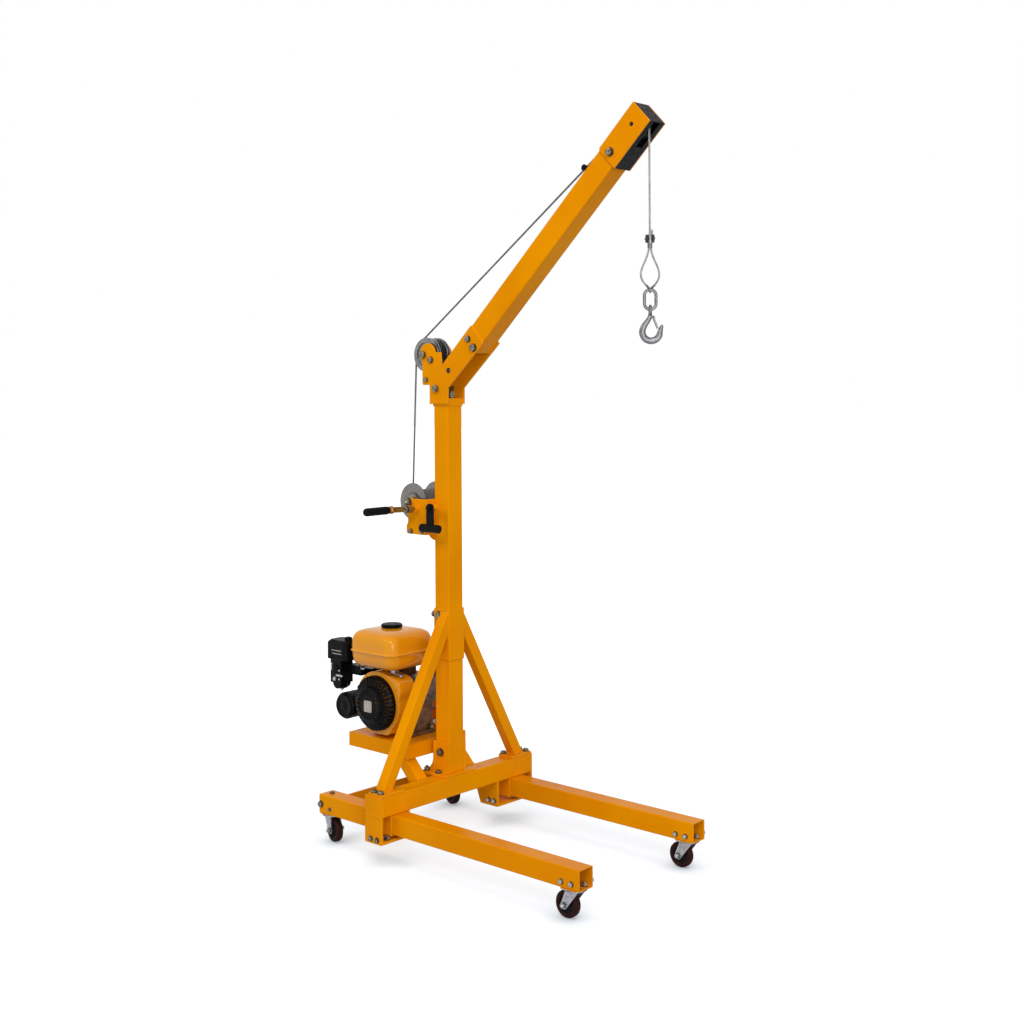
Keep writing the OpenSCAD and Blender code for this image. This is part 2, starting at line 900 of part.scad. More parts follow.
module crank_grip() {
  color(dark)
    at_mast()
      translate([crank_x, crank_arm_y, crank_z])
        rotate([0, crank_drop, 0])
          translate([-crank_length, -side_gap, 0])
            rotate([90, 0, 0])
              rotate_extrude()
                polygon([[5 + pin_fit, 0], [11, 0], [12.5, 4], [grip_r, 30], [grip_r, grip_length - 10],
                  [11, grip_length + 1], [8, grip_length + 4], [0, grip_length + 4],
                  [0, grip_length - 7], [5 + pin_fit, grip_length - 7]]);
}

// Pin of the release handle on the winch's lug, and two gussets behind the mast
module winch_bracket() {
  bend = 40;
  drop = 20;
  color(paint)
    at_mast() {
      rod_y(handle_x, handle_z, handle_y - 10, -winch_out, 5);
      rod_y(handle_x, handle_z, handle_y - 10, handle_y - 4 - side_gap, 8);
      rod_y(handle_x, handle_z, handle_y + 4 + side_gap, -winch_out, 8);
      for (s = [-1, 1])
        plate_xz(s * (half_mast - 8) - 3, s * (half_mast - 8) + 3)
          intersection() {
            translate([-half_mast, winch_low - drop + bend])
              circle(bend);
            translate([-half_mast - bend, winch_low - drop])
              square([bend, drop]);
          }
    }
}

module release_handle() {
  strap = 27;
  bar = 76;
  color(dark)
    at_mast()
      difference() {
        union() {
          rod_y(handle_x, handle_z, handle_y - 4, handle_y + 4, strap / 2);
          translate([handle_x - strap / 2, handle_y - 4, handle_z - 62])
            cube([strap, 8, 62]);
          translate([handle_x - bar / 2, handle_y, handle_z - 64])
            rotate([0, 90, 0])
              cylinder(h = bar, r = grip_r);
        }
        rod_y(handle_x, handle_z, handle_y - 20, handle_y + 20, 5 + pin_fit);
      }
}

// Head
module in_boom() {
  translate([boom_x, 0, boom_z])
    rotate([0, -boom_angle, 0])
      children();
}

module head_outline(lock) {
  c = cos(boom_angle);
  s = sin(boom_angle);
  up = [boom_x + 175 * c, boom_z + 175 * s];
  difference() {
    union() {
      polygon([[-43, mast_top - 14], [38, mast_top - 14], [38, mast_top + 36],
        [up[0] + 76 * s, up[1] - 76 * c], up, [boom_x, boom_z], [7, axle_z + 7],
        [-52, axle_z + 7], [-75, axle_z - 8], [-75, mast_top + 50], [-71, mast_top + 46],
        [-43, mast_top + 46]]);
      translate([-52, axle_z + 2])
        circle(34);
    }
    if (lock)
      translate([lock_x, mast_top + lock_rise])
        circle(lock_r);
    for (p = head_pin_places)
      translate([p[0], p[1]])
        circle(p[2] + pin_fit);
  }
}

module head_plates() {
  color(paint)
    at_mast()
      union() {
        plate_xz(-plate_out, -plate_in)
          head_outline(true);
        plate_xz(plate_in, plate_out)
          head_outline(false);
        in_boom()
          translate([6, -plate_in, -4])
            cube([root_gap - 6, 2 * plate_in, 4]);
        translate([0, 0, mast_top - 21])
          linear_extrude(21)
            difference() {
              square(2 * plate_in, center = true);
              square(mast_size + 2 * weld_fit, center = true);
            }
        translate([-plate_in, -plate_in, mast_top])
          cube([2 * plate_in, 2 * plate_in, 4]);
      }
}

// Pins and sheave axles of the head and the tip
module axles() {
  color(zinc)
    at_mast() {
      in_boom()
        rod_y(tip_u, tip_v, -plate_in - tip_plate_t, plate_in + tip_plate_t, tip_pin_r);
      for (p = head_pin_places) {
        rod_y(p[0], p[1], -plate_out - 4, plate_out + 4, p[2]);
        rod_y(p[0], p[1], -plate_out - p[3], -plate_out, p[2] + 3);
        rod_y(p[0], p[1], plate_out, plate_out + p[3], p[2] + 3);
      }
    }
}

// A grooved sheave about the Y axis, w wide, with its hub from y0 to y1
module sheave(r, w, bore, hub_r, y0, y1) {
  rotate([90, 0, 0])
    rotate_extrude()
      difference() {
        union() {
          translate([bore, -y1])
            square([hub_r - bore, y1 - y0]);
          translate([bore, -3])
            square([r - bore - 2, 6]);
          translate([r - 14, -w / 2])
            square([14, w]);
        }
        translate([r - groove_depth, 0])
          circle(rope_d / 2 + 0.3);
        translate([r - groove_depth, 0])
          polygon([[0, -rope_d / 2 - 0.3], [groove_depth + 1, -rope_d / 2 - 1.5],
            [groove_depth + 1, rope_d / 2 + 1.5], [0, rope_d / 2 + 0.3]]);
      }
}

module head_sheave(side) {
  inner = side_gap / 2 - sheave_y;
  outer = plate_in - side_gap - sheave_y;
  color(zinc)
    at_mast()
      translate([axle_x, side * sheave_y, axle_z])
        mirror([0, side < 0 ? 1 : 0, 0])
          sheave(sheave_r, sheave_w, axle_pin_r + pin_fit, 17, inner, outer);
}

module head_sheave_left() head_sheave(1);
module head_sheave_right() head_sheave(-1);

module boom() {
  color(paint)
    at_mast()
      in_boom()
        translate([root_gap, 0, -boom_h / 2])
          tube_x(boom_end - root_gap, boom_w, boom_h, boom_wall);
}

module rope_roller() {
  color(dark)
    at_mast()
      in_boom()
        union() {
          for (y = [-plate_in + 2, plate_in - 5])
            translate([roller_u - 12, y, 0])
              cube([24, 3, roller_v + 6]);
          rod_y(roller_u, roller_v, -plate_in + 5, plate_in - 5, roller_r);
          rod_y(roller_u, roller_v, -plate_in, plate_in, 3);
        }
}

module tip_plates() {
  color(paint)
    at_mast()
      in_boom()
        difference() {
          for (s = [-1, 1])
            plate_xz(s * (plate_in + tip_plate_t / 2) - tip_plate_t / 2,
              s * (plate_in + tip_plate_t / 2) + tip_plate_t / 2)
              polygon([[tip_start, tip_low], [boom_length, tip_low], [boom_length, 2], [tip_start + 6, 2],
                [tip_start, -4]]);
          rod_y(tip_u, tip_v, -60, 60, tip_pin_r + pin_fit);
        }
}

// Black liner inside the tip: a trough round the sheave, with a slot below for the rope
module tip_liner() {
  inside = plate_in - liner_t;
  slot = 9 + safe_gap;
  slot_u = tip_u - tip_sheave_r - safe_gap;
  end_u = boom_length - liner_t;
  color(dark)
    at_mast()
      in_boom()
        difference() {
          union() {
            translate([tip_start, -plate_in, tip_low])
              cube([boom_length - tip_start, 2 * plate_in, -boom_h - tip_low]);
            translate([boom_end, -plate_in, -boom_h - eps])
              cube([boom_length - boom_end, 2 * plate_in, 2 + boom_h + eps]);
          }
          translate([tip_start + liner_t, -inside, tip_low + liner_t])
            cube([end_u - tip_start - liner_t, 2 * inside, -boom_h - tip_low]);
          translate([boom_end - eps, -inside, -boom_h - eps])
            cube([end_u - boom_end + eps, 2 * inside, boom_h + 2 + 2 * eps]);
          translate([slot_u, -slot, tip_low - eps])
            cube([end_u - slot_u, 2 * slot, liner_t + 2 * eps]);
          rod_y(tip_u, tip_v, -60, 60, tip_pin_r + pin_fit);
        }
}

module tip_sheave() {
  side = plate_in - liner_t - side_gap;
  color(zinc)
    at_mast()
      translate([tip_x, 0, tip_z])
        sheave(tip_sheave_r, 18, tip_pin_r + pin_fit, 14, -side, side);
}

// Ropes, swept along points that follow their sheaves
function unit(v) = v / norm(v);
function heading(p, i) = unit(p[min(i + 1, len(p) - 1)] - p[max(i - 1, 0)]);
function across(u, t) = unit(u - (u * t) * t);
function side_list(p, i, u) =
  i == len(p) ? [] : let (v = across(u, heading(p, i))) concat([v], side_list(p, i + 1, v));

// Round bar along points p, with radius r[i] at each; first is its side at the start
module sweep(p, r, sides, first, flat = 1) {
  n = len(p);
  u = side_list(p, 0, first);
  rings = [for (i = [0:n - 1])
    let (t = heading(p, i), v = cross(t, u[i]))
      for (k = [0:sides - 1])
        p[i] + r[i] * (flat * cos(360 * k / sides) * u[i] + sin(360 * k / sides) * v)];
  walls = [for (i = [0:n - 2], k = [0:sides - 1])
    let (a = i * sides + k, b = i * sides + (k + 1) % sides)
      each [[a, a + sides, b + sides], [a, b + sides, b]]];
  start = [[for (k = [0:sides - 1]) k]];
  end = [[for (k = [0:sides - 1]) n * sides - 1 - k]];
  polyhedron(rings, concat(start, walls, end), convexity = 8);
}

module rope_along(p, first) sweep(p, [for (q = p) rope_d / 2], 12, first);

function arc_points(c, r, a, b, y, n) =
  [for (i = [0:n]) let (t = a + (b - a) * i / n) [c[0] + r * cos(t), y, c[1] + r * sin(t)]];

// Angles at which the rope leaves the drum and the sheaves
up_line = [axle_x - drum_x, axle_z - drum_z];
up_angle = atan2(up_line[1], up_line[0]) + acos((wound_r - sheave_rope_r) / norm(up_line));
roller_top = roller_v + roller_r + rope_d / 2 + side_gap;
roller_at = [boom_x + roller_u * cos(boom_angle) - roller_top * sin(boom_angle),
  boom_z + roller_u * sin(boom_angle) + roller_top * cos(boom_angle)];
roller_y = rope_y * (tip_u - roller_u) / (tip_u + 34);
to_roller = roller_at - [axle_x, axle_z];
off_angle = atan2(to_roller[1], to_roller[0]) + acos(sheave_rope_r / norm(to_roller));
to_tip = roller_at - [tip_x, tip_z];
tip_angle = atan2(to_tip[1], to_tip[0]) + 360 - acos(tip_rope_r / norm(to_tip));

module mast_rope() {
  color("gray")
    at_mast()
      rope_along(concat(
        arc_points([drum_x, drum_z], wound_r, up_angle + 50, up_angle, rope_y, 8),
        arc_points([axle_x, axle_z], sheave_rope_r, up_angle, off_angle, rope_y, 8)), [0, 1, 0]);
}

module boom_rope() {
  color("gray")
    at_mast()
      rope_along(concat(
        [arc_points([axle_x, axle_z], sheave_rope_r, off_angle, off_angle, rope_y, 1)[0]],
        [[roller_at[0], roller_y, roller_at[1]]],
        arc_points([tip_x, tip_z], tip_rope_r, tip_angle, 0, 0, 14)), [0, 1, 0]);
}

module hanging_rope() {
  color("gray")
    at_mast()
      translate([hang_x, 0, clamp_top])
        cylinder(h = tip_z - clamp_top - side_gap, r = rope_d / 2);
}

// The hook's line, turned about the rope
module at_hook(z) {
  at_mast()
    translate([hang_x, 0, z])
      rotate([0, 0, hook_turn])
        children();
}

module rope_clamp() {
  color(zinc)
    at_hook(clamp_top)
      union() {
        translate([0, 0, -clamp_h])
          linear_extrude(clamp_h)
            rounded_rect([20, 16], 4);
        for (s = [-1, 1])
          translate([s * 9, 9, -clamp_h / 2])
            rotate([90, 0, 0])
              cylinder(h = 18, r = 6.5, $fn = 6);
        translate([0, 0, -clamp_h - neck_h])
          cylinder(h = neck_h + 1, r = 7);
        translate([rope_d + 0.4, 0, 0])
          cylinder(h = 16, r = rope_d / 2);
      }
}

function ease(x) = let (c = min(max(x, 0), 1)) c * c * (3 - 2 * c);
eye_start = eye_top - 0.2;
function strand(s) = [for (i = [0:26])
  let (t = i / 26)
    [s * (3.2 * (1 - t) + eye_swell * sin(180 * pow(t, 1.6))), s * bight_r * ease((t - 0.7) / 0.2),
      eye_start + (link_top - eye_start) * t]];

module rope_eye() {
  left = strand(-1);
  right = strand(1);
  bight = [for (i = [1:9]) [0, -bight_r * cos(i * 18), link_top - bight_r * sin(i * 18)]];
  color("gray")
    at_hook(0)
      rope_along(concat(left, bight, [for (i = [26:-1:0]) right[i]]), [0, 1, 0]);
}

module link() {
  bend_r = (link_w - link_bar) / 2;
  half = (link_top - link_low) / 2 - bend_r;
  color(zinc)
    at_hook((link_top + link_low) / 2)
      union() {
        for (s = [-1, 1]) {
          mirror([0, 0, s < 0 ? 1 : 0])
            translate([0, 0, half])
              rotate([90, 0, 0])
                rotate_extrude(angle = 180)
                  translate([bend_r, 0])
                    circle(link_bar / 2);
          translate([s * bend_r, 0, -half])
            cylinder(h = 2 * half, r = link_bar / 2);
        }
      }
}

// Hook, measured from the middle of its eye
bowl = [2, -61];
bowl_r = 24.5;
function curve(a, b, c, d, t) =
  a * pow(1 - t, 3) + 3 * b * t * pow(1 - t, 2) + 3 * c * t * t * (1 - t) + d * pow(t, 3);
bowl_start = bowl + bowl_r * [cos(160), sin(160)];
bowl_end = bowl + bowl_r * [cos(-5), sin(-5)];
hook_shank = [for (i = [0:7]) curve([0, -8.5], [0, -28], bowl_start + [5, 16], bowl_start, i / 8)];
hook_bowl = [for (i = [0:15]) let (a = 160 + i * 195 / 16) bowl + bowl_r * [cos(a), sin(a)]];
hook_tip = [for (i = [0:5]) curve(bowl_end, bowl_end + [0.6, 7], [31, -49], [33, -41], i / 5)];
hook_path = [for (q = concat(hook_shank, hook_bowl, hook_tip)) [q[0], 0, q[1]]];
hook_size = [for (i = [0:29])
  hook_bar / 2 * (i < 8 ? 0.85 + 0.55 * i / 8 : i < 24 ? 1.4 + 0.1 * sin((i - 8) * 11) : 1.33 - 0.8 * pow((i - 23) / 6, 1.5))];

module hook() {
  color(zinc)
    at_hook(hook_eye)
      union() {
        rotate([0, 90, 0])
          rotate_extrude()
            translate([eye_r, 0])
              circle(eye_bar);
        sweep(hook_path, hook_size, 18, [0, 1, 0], 0.78);
        translate([latch_u, 6.9, latch_v])
          rotate([90, 0, 0])
            cylinder(h = 13.8, r = 4.5);
        translate([latch_u, 9.8, latch_v])
          rotate([90, 0, 0])
            cylinder(h = 19.6, r = 2);
      }
}

module hook_latch() {
  color(zinc)
    at_hook(hook_eye)
      translate([latch_u, 0, latch_v])
        rotate([0, latch_lean, 0])
          difference() {
            union() {
              for (y = [-8.8, 7.3])
                plate_xz(y, y + 1.5) {
                  circle(4.5);
                  translate([-2.5, -latch_length])
                    square([5, latch_length]);
                }
              translate([0.5, -8.8, -latch_length])
                cube([2, 17.6, latch_length - 8]);
            }
            rod_y(0, 0, -20, 20, 2 + pin_fit);
          }
}

leg_left();
leg_right();
crossbeam();
rear_cross_member();
leg_sockets();
caster_plates();
caster_fork_front_left();
caster_fork_front_right();
caster_fork_rear_left();
caster_fork_rear_right();
wheel_front_left();
wheel_front_right();
wheel_rear_left();
wheel_rear_right();
mast_foot();
mast();
mast_collar();
brace_left();
brace_right();
platform();
platform_struts();
crankcase();
cylinder_block();
fan_shroud();
recoil_cover();
fuel_tank();
tank_cap();
air_cleaner();
carburettor();
silencer();
round_housing();
gearbox();
winch_frame();
winch_drum();
wound_rope();
crank();
crank_grip();
winch_bracket();
release_handle();
head_plates();
axles();
head_sheave_right();
head_sheave_left();
boom();
rope_roller();
tip_plates();
tip_liner();
tip_sheave();
mast_rope();
boom_rope();
hanging_rope();
rope_clamp();
rope_eye();
link();
hook();
hook_latch();
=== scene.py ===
"""Portable mini crane: how its painted steel, engine, winch, ropes and hook are finished.

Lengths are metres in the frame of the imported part. The sections follow the crane as it is
put together, from the legs on the floor to the hook.
"""

import json
from math import acos, atan2, cos, degrees, hypot, pi, radians, sin

import bmesh
import bpy
from mathutils import Matrix, Vector

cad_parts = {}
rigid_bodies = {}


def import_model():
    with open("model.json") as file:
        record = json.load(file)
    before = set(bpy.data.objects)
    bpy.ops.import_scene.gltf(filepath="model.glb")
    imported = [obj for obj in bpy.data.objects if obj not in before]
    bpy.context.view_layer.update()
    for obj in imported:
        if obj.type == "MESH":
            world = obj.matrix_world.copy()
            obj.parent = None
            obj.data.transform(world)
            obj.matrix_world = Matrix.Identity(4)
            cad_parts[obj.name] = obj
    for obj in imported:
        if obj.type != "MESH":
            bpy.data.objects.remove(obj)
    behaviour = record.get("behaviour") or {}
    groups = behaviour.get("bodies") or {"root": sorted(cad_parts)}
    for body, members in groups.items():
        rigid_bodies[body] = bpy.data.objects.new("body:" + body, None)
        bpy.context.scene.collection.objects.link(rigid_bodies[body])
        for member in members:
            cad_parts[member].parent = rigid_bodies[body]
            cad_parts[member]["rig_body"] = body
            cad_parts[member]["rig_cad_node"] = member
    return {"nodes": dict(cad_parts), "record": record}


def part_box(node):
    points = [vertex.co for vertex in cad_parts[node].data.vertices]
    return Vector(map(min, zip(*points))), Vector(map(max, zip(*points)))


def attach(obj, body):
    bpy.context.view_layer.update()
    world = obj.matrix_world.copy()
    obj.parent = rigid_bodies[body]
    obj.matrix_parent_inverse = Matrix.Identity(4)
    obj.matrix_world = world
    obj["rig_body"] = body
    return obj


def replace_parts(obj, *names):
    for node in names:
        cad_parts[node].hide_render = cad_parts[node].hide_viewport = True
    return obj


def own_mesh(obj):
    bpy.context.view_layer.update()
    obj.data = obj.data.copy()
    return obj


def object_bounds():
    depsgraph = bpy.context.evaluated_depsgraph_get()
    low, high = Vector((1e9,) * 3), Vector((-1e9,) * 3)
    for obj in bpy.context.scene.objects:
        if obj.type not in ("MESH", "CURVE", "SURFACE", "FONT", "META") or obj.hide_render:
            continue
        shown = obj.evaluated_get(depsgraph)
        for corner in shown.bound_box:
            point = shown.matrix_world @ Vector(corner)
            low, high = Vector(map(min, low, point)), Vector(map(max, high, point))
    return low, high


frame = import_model()
cad_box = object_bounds()

# --------------------------------------
# Legs, crossbeam and leg sockets
# Square steel tube and flame-cut plate, welded and sprayed with gloss orange enamel.
# The legs slide through box sleeves under the crossbeam and are held by bolts.
# --------------------------------------

CAD = frame["nodes"]
BODY_OF = {n: b for b, group in frame["record"]["behaviour"]["bodies"].items() for n in group}
MM = 0.001


def middle(cad):
    """The middle of a CAD piece's box."""
    low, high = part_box(cad)
    return (low + high) / 2


mast_line = middle("mast")


def spot(x, y, z):
    """A place given in millimetres from the mast's middle line and the floor."""
    return Vector((mast_line.x + x * MM, mast_line.y + y * MM, z * MM))


def take(piece):
    """Selects one piece alone and makes it the active one."""
    bpy.ops.object.select_all(action="DESELECT")
    piece.select_set(True)
    bpy.context.view_layer.objects.active = piece


def put(piece):
    """Stands a new object in the scene."""
    bpy.context.scene.collection.objects.link(piece)
    return piece


def edit(piece):
    """Takes one piece into edit mode."""
    take(piece)
    bpy.ops.object.mode_set(mode="EDIT")


def leave():
    """Leaves edit mode."""
    bpy.ops.object.mode_set(mode="OBJECT")


def choose(kind, test):
    """In edit mode, selects just the faces or edges whose middle and direction pass the test."""
    bpy.ops.mesh.select_mode(type=kind)
    bpy.ops.mesh.select_all(action="DESELECT")
    mesh = bmesh.from_edit_mesh(bpy.context.object.data)
    mesh.normal_update()
    if kind == "FACE":
        for face in mesh.faces:
            if test(face.calc_center_median(), face.normal):
                face.select_set(True)
    else:
        for edge in mesh.edges:
            a, b = (corner.co for corner in edge.verts)
            if test((a + b) / 2, b - a):
                edge.select_set(True)
    mesh.select_flush_mode()
    bmesh.update_edit_mesh(bpy.context.object.data)


def finished(piece, finish, body, smooth=32):
    """Puts the piece's place into its mesh, smooths it, paints it and fixes it to its body."""
    take(piece)
    bpy.ops.object.transform_apply(location=True, rotation=True, scale=True)
    bpy.ops.object.shade_smooth_by_angle(angle=radians(smooth))
    piece.data.materials.clear()
    piece.data.materials.append(finish)
    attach(piece, body)
    return piece


def cad_copy(cad, name, flatten=False):
    """A free copy of a CAD piece, its loose triangles merged into one skin or flat faces."""
    piece = CAD[cad].copy()
    piece.data = CAD[cad].data.copy()
    piece.name = name
    put(piece).parent = None
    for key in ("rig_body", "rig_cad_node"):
        del piece[key]
    take(piece)
    bpy.ops.mesh.customdata_custom_splitnormals_clear()
    edit(piece)
    bpy.ops.mesh.select_all(action="SELECT")
    bpy.ops.mesh.remove_doubles(threshold=0.00001)
    if flatten:
        bpy.ops.mesh.dissolve_limited(angle_limit=radians(0.4))
    leave()
    return piece


def eased(cad, finish, edge=0.9, angle=38, steps=2):
    """The CAD piece with its hard edges rounded as a file and a coat of paint leave them."""
    piece = cad_copy(cad, cad + "_eased", flatten=True)
    bevel = piece.modifiers.new("edge", "BEVEL")
    bevel.width, bevel.segments = edge * MM, steps
    bevel.limit_method, bevel.angle_limit = "ANGLE", radians(angle)
    bevel.use_clamp_overlap = True
    bpy.ops.object.modifier_apply(modifier=bevel.name)
    finished(piece, finish, BODY_OF[cad])
    flat = piece.modifiers.new("flat_faces", "WEIGHTED_NORMAL")
    flat.keep_sharp = True
    bpy.ops.object.modifier_apply(modifier=flat.name)
    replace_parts(piece, cad)
    return piece


def blank_finish(name, metallic=0.0, specular=0.5, coat=0.0, coat_rough=0.1):
    """A new material with the places of its pattern; returns it and its node tree's parts."""
    material = bpy.data.materials.new(name)
    material.use_nodes = True
    tree = material.node_tree
    shader = tree.nodes["Principled BSDF"]
    shader.inputs["Metallic"].default_value = metallic
    shader.inputs["Specular IOR Level"].default_value = specular
    shader.inputs["Coat Weight"].default_value = coat
    shader.inputs["Coat Roughness"].default_value = coat_rough
    places = tree.nodes.new("ShaderNodeTexCoord").outputs["Object"]
    return material, tree, shader, places


def node(tree, kind, sockets, out=0, **settings):
    """A new node with its settings, and its sockets set or joined; returns one output."""
    made = tree.nodes.new(kind)
    for key, value in settings.items():
        setattr(made, key, value)
    for key, value in sockets.items():
        if isinstance(value, bpy.types.NodeSocket):
            tree.links.new(value, made.inputs[key])
        else:
            made.inputs[key].default_value = (*value, 1.0) if isinstance(value, tuple) else value
    return made.outputs[out]


def noise(tree, places, scale, detail=3.0, rough=0.55):
    """Cloudy pattern of about 1 / scale metres."""
    return node(tree, "ShaderNodeTexNoise",
                {"Vector": places, "Scale": scale, "Detail": detail, "Roughness": rough}, "Fac")


def graded(tree, value, low, high, to_low, to_high):
    """Stretches value from low..high to to_low..to_high, held at the ends."""
    ends = {"From Min": low, "From Max": high, "To Min": to_low, "To Max": to_high}
    return node(tree, "ShaderNodeMapRange", {"Value": value, **ends}, "Result",
                interpolation_type="SMOOTHSTEP")


def mixed(tree, share, first, second):
    """One colour turning into another by share."""
    return node(tree, "ShaderNodeMix", {0: share, 6: first, 7: second}, 2, data_type="RGBA")


def raised(tree, shader, height, strength, depth, under=None):
    """Bump of the given depth in millimetres; chains onto the bump under it."""
    below = {} if under is None else {"Normal": under}
    bump = node(tree, "ShaderNodeBump",
                {"Strength": strength, "Distance": depth * MM, "Height": height, **below})
    tree.links.new(bump, shader.inputs["Normal"])
    return bump


def enamel(name, colour, deeper, gloss=0.24, coat=0.0):
    """Sprayed gloss enamel: soft changes of tone, orange peel, and a painted highlight along its rounded
    edges.
    """
    material, tree, shader, places = blank_finish(
        name, specular=0.04 + coat * 0.25, coat=coat, coat_rough=0.04)
    shader.inputs["Specular Tint"].default_value = (1.0, 0.58, 0.1, 1.0)
    tone = graded(tree, noise(tree, places, 2.6, 3.0), 0.35, 0.68, 0.0, 1.0)
    body = mixed(tree, tone, colour, deeper)
    film = graded(tree, noise(tree, places, 30.0, 6.0, 0.7), 0.5, 0.74, 0.0, 0.10)
    body = mixed(tree, film, body, tuple(c * 0.86 for c in deeper))
    # Painted highlight: where the Bevel node's rounded normal turns from the true face normal, the colour
    # is lightened to pale orange-yellow along every edge.
    corner = node(tree, "ShaderNodeBevel", {"Radius": 2.6 * MM}, samples=6)
    flat = node(tree, "ShaderNodeNewGeometry", {}, "True Normal")
    edge_highlight_bend = node(tree, "ShaderNodeVectorMath", {0: corner, 1: flat}, "Value", operation="DOT_PRODUCT")
    body = mixed(tree, graded(tree, edge_highlight_bend, 0.8, 0.97, 0.62, 0.0), body, (1.0, 0.50, 0.07))
    tree.links.new(body, shader.inputs["Base Color"])
    worn = graded(tree, noise(tree, places, 24.0, 5.0, 0.7), 0.35, 0.72, gloss - 0.05, gloss + 0.12)
    tree.links.new(worn, shader.inputs["Roughness"])
    drips = raised(tree, shader, noise(tree, places, 16.0, 2.0), 0.2, 0.2, corner)
    raised(tree, shader, noise(tree, places, 420.0, 2.0), 0.08, 0.1, drips)
    return material


orange_enamel = enamel("orange_enamel", (0.87, 0.312, 0.0), (0.79, 0.258, 0.0))

for part in ("leg_left", "leg_right", "crossbeam", "rear_cross_member", "leg_sockets"):
    eased(part, orange_enamel)


def drawn(name, places, shaped):
    """A curve through the places, shaped as given and then made a mesh."""
    path = bpy.data.curves.new(name, "CURVE")
    path.dimensions, path.use_fill_caps = "3D", True
    line = path.splines.new("POLY")
    line.points.add(len(places) - 1)
    for point, place in zip(line.points, places):
        point.co = (*place, 1)
    shaped(path, line.points)
    take(put(bpy.data.objects.new(name, path)))
    bpy.ops.object.convert(target="MESH")
    return bpy.context.object


def weld_bead(points, size):
    """A MIG weld: a bar laid along the joint, pushed into overlapping ripples."""
    length = sum((b - a).length for a, b in zip(points, points[1:]))
    steps = max(4, int(length / (1.6 * MM)))
    places = []
    for i in range(steps + 1):
        travelled, place = i / steps * length, points[-1]
        for a, b in zip(points, points[1:]):
            if travelled <= (b - a).length:
                place = a + (b - a) * (travelled / (b - a).length)
                break
            travelled -= (b - a).length
        places.append(place)

    def rippled(path, line):
        path.bevel_depth, path.bevel_resolution = size * MM, 3
        for i, point in enumerate(line):
            point.radius = 0.84 + 0.16 * sin(i * 2.1) + 0.05 * sin(i * 0.7)

    return drawn("bead", places, rippled)


def joined(pieces, name):
    """Joins like pieces into one."""
    bpy.ops.object.select_all(action="DESELECT")
    for piece in pieces:
        piece.select_set(True)
    bpy.context.view_layer.objects.active = pieces[0]
    bpy.ops.object.join()
    pieces[0].name = name
    return pieces[0]


def welded(name, runs):
    """Lays a bead of the given size along each run and paints them as one piece."""
    beads = [weld_bead(points, size) for size, *points in runs]
    finished(joined(beads, name), orange_enamel, "base", 60)


# --------------------------------------
# Bolts, nuts and washers of the whole frame
# Hexagon bolts and nuts of 8 to 12 mm, yellow-zinc plated, each on a plain washer. They
# are turned once here and copied to every hole; the nut shows the end of its thread.
# --------------------------------------


def patterned(name, tones, cloud, mark, marks, dull, bumps, **shine):
    """Two tones in clouds, marks over them, uneven gloss, and bumps laid on one another.

    A pattern is its scale, detail and roughness, then the range it is cut at.
    """
    material, tree, shader, places = blank_finish(name, **shine)
    body = mixed(tree, graded(tree, noise(tree, places, *cloud[:3]), *cloud[3:], 0.0, 1.0), *tones)
    over = graded(tree, noise(tree, places, *marks[:3]), *marks[3:5], 0.0, marks[5])
    tree.links.new(mixed(tree, over, body, mark), shader.inputs["Base Color"])
    uneven = graded(tree, noise(tree, places, *dull[:2]), 0.3, 0.7, *dull[2:])
    tree.links.new(uneven, shader.inputs["Roughness"])
    below = None
    for scale, detail, strength, depth in bumps:
        below = raised(tree, shader, noise(tree, places, scale, detail), strength, depth, below)
    return material


def plated(name, colour, tint, metallic=0.9, gloss=0.34, grain=0.3, stain=0.55):
    """Zinc plate: a mottled bright skin with duller patches and fine scratches."""
    spread = min(1.0, 0.15 + grain * 3)
    return patterned(
        name, (colour, tint), (130.0, 5.0, 0.65, 0.35, 0.66), tuple(c * 0.55 for c in tint),
        (48.0, 6.0, 0.75, 0.55, 0.72, stain), (210.0, 4.0, gloss - 0.1 * spread, gloss + 0.16 * spread),
        [(700.0, 3.0, grain, 0.08)], metallic=metallic)


yellow_zinc = plated("yellow_zinc", (0.27, 0.25, 0.19), (0.085, 0.07, 0.045))


def turned(name, profile, steps=48, axis=(0, 0, 1), at=(0, 0, 0)):
    """Draws a profile of (radius, height) in millimetres point by point and spins it about Z."""
    bpy.ops.object.select_all(action="DESELECT")
    bpy.ops.mesh.primitive_plane_add(size=0.001)
    piece = bpy.context.object
    piece.name = name
    edit(piece)
    bpy.ops.mesh.select_mode(type="VERT")
    bpy.ops.mesh.select_all(action="SELECT")
    bpy.ops.mesh.merge(type="CENTER")
    bpy.ops.transform.translate(value=(profile[0][0] * MM, 0, profile[0][1] * MM))
    for (r0, z0), (r1, z1) in zip(profile, profile[1:]):
        bpy.ops.mesh.extrude_vertices_move(
            TRANSFORM_OT_translate={"value": ((r1 - r0) * MM, 0, (z1 - z0) * MM)})
    bpy.ops.mesh.select_all(action="SELECT")
    bpy.ops.mesh.spin(steps=steps, angle=2 * pi, center=(0, 0, 0), axis=(0, 0, 1))
    bpy.ops.mesh.select_all(action="SELECT")
    bpy.ops.mesh.remove_doubles(threshold=0.000004)
    bpy.ops.mesh.normals_make_consistent(inside=False)
    leave()
    if axis != (0, 0, 1) or at != (0, 0, 0):
        turn = Vector((0, 0, 1)).rotation_difference(Vector(axis)).to_matrix().to_4x4()
        piece.data.transform(Matrix.Translation(at) @ turn)
    return piece


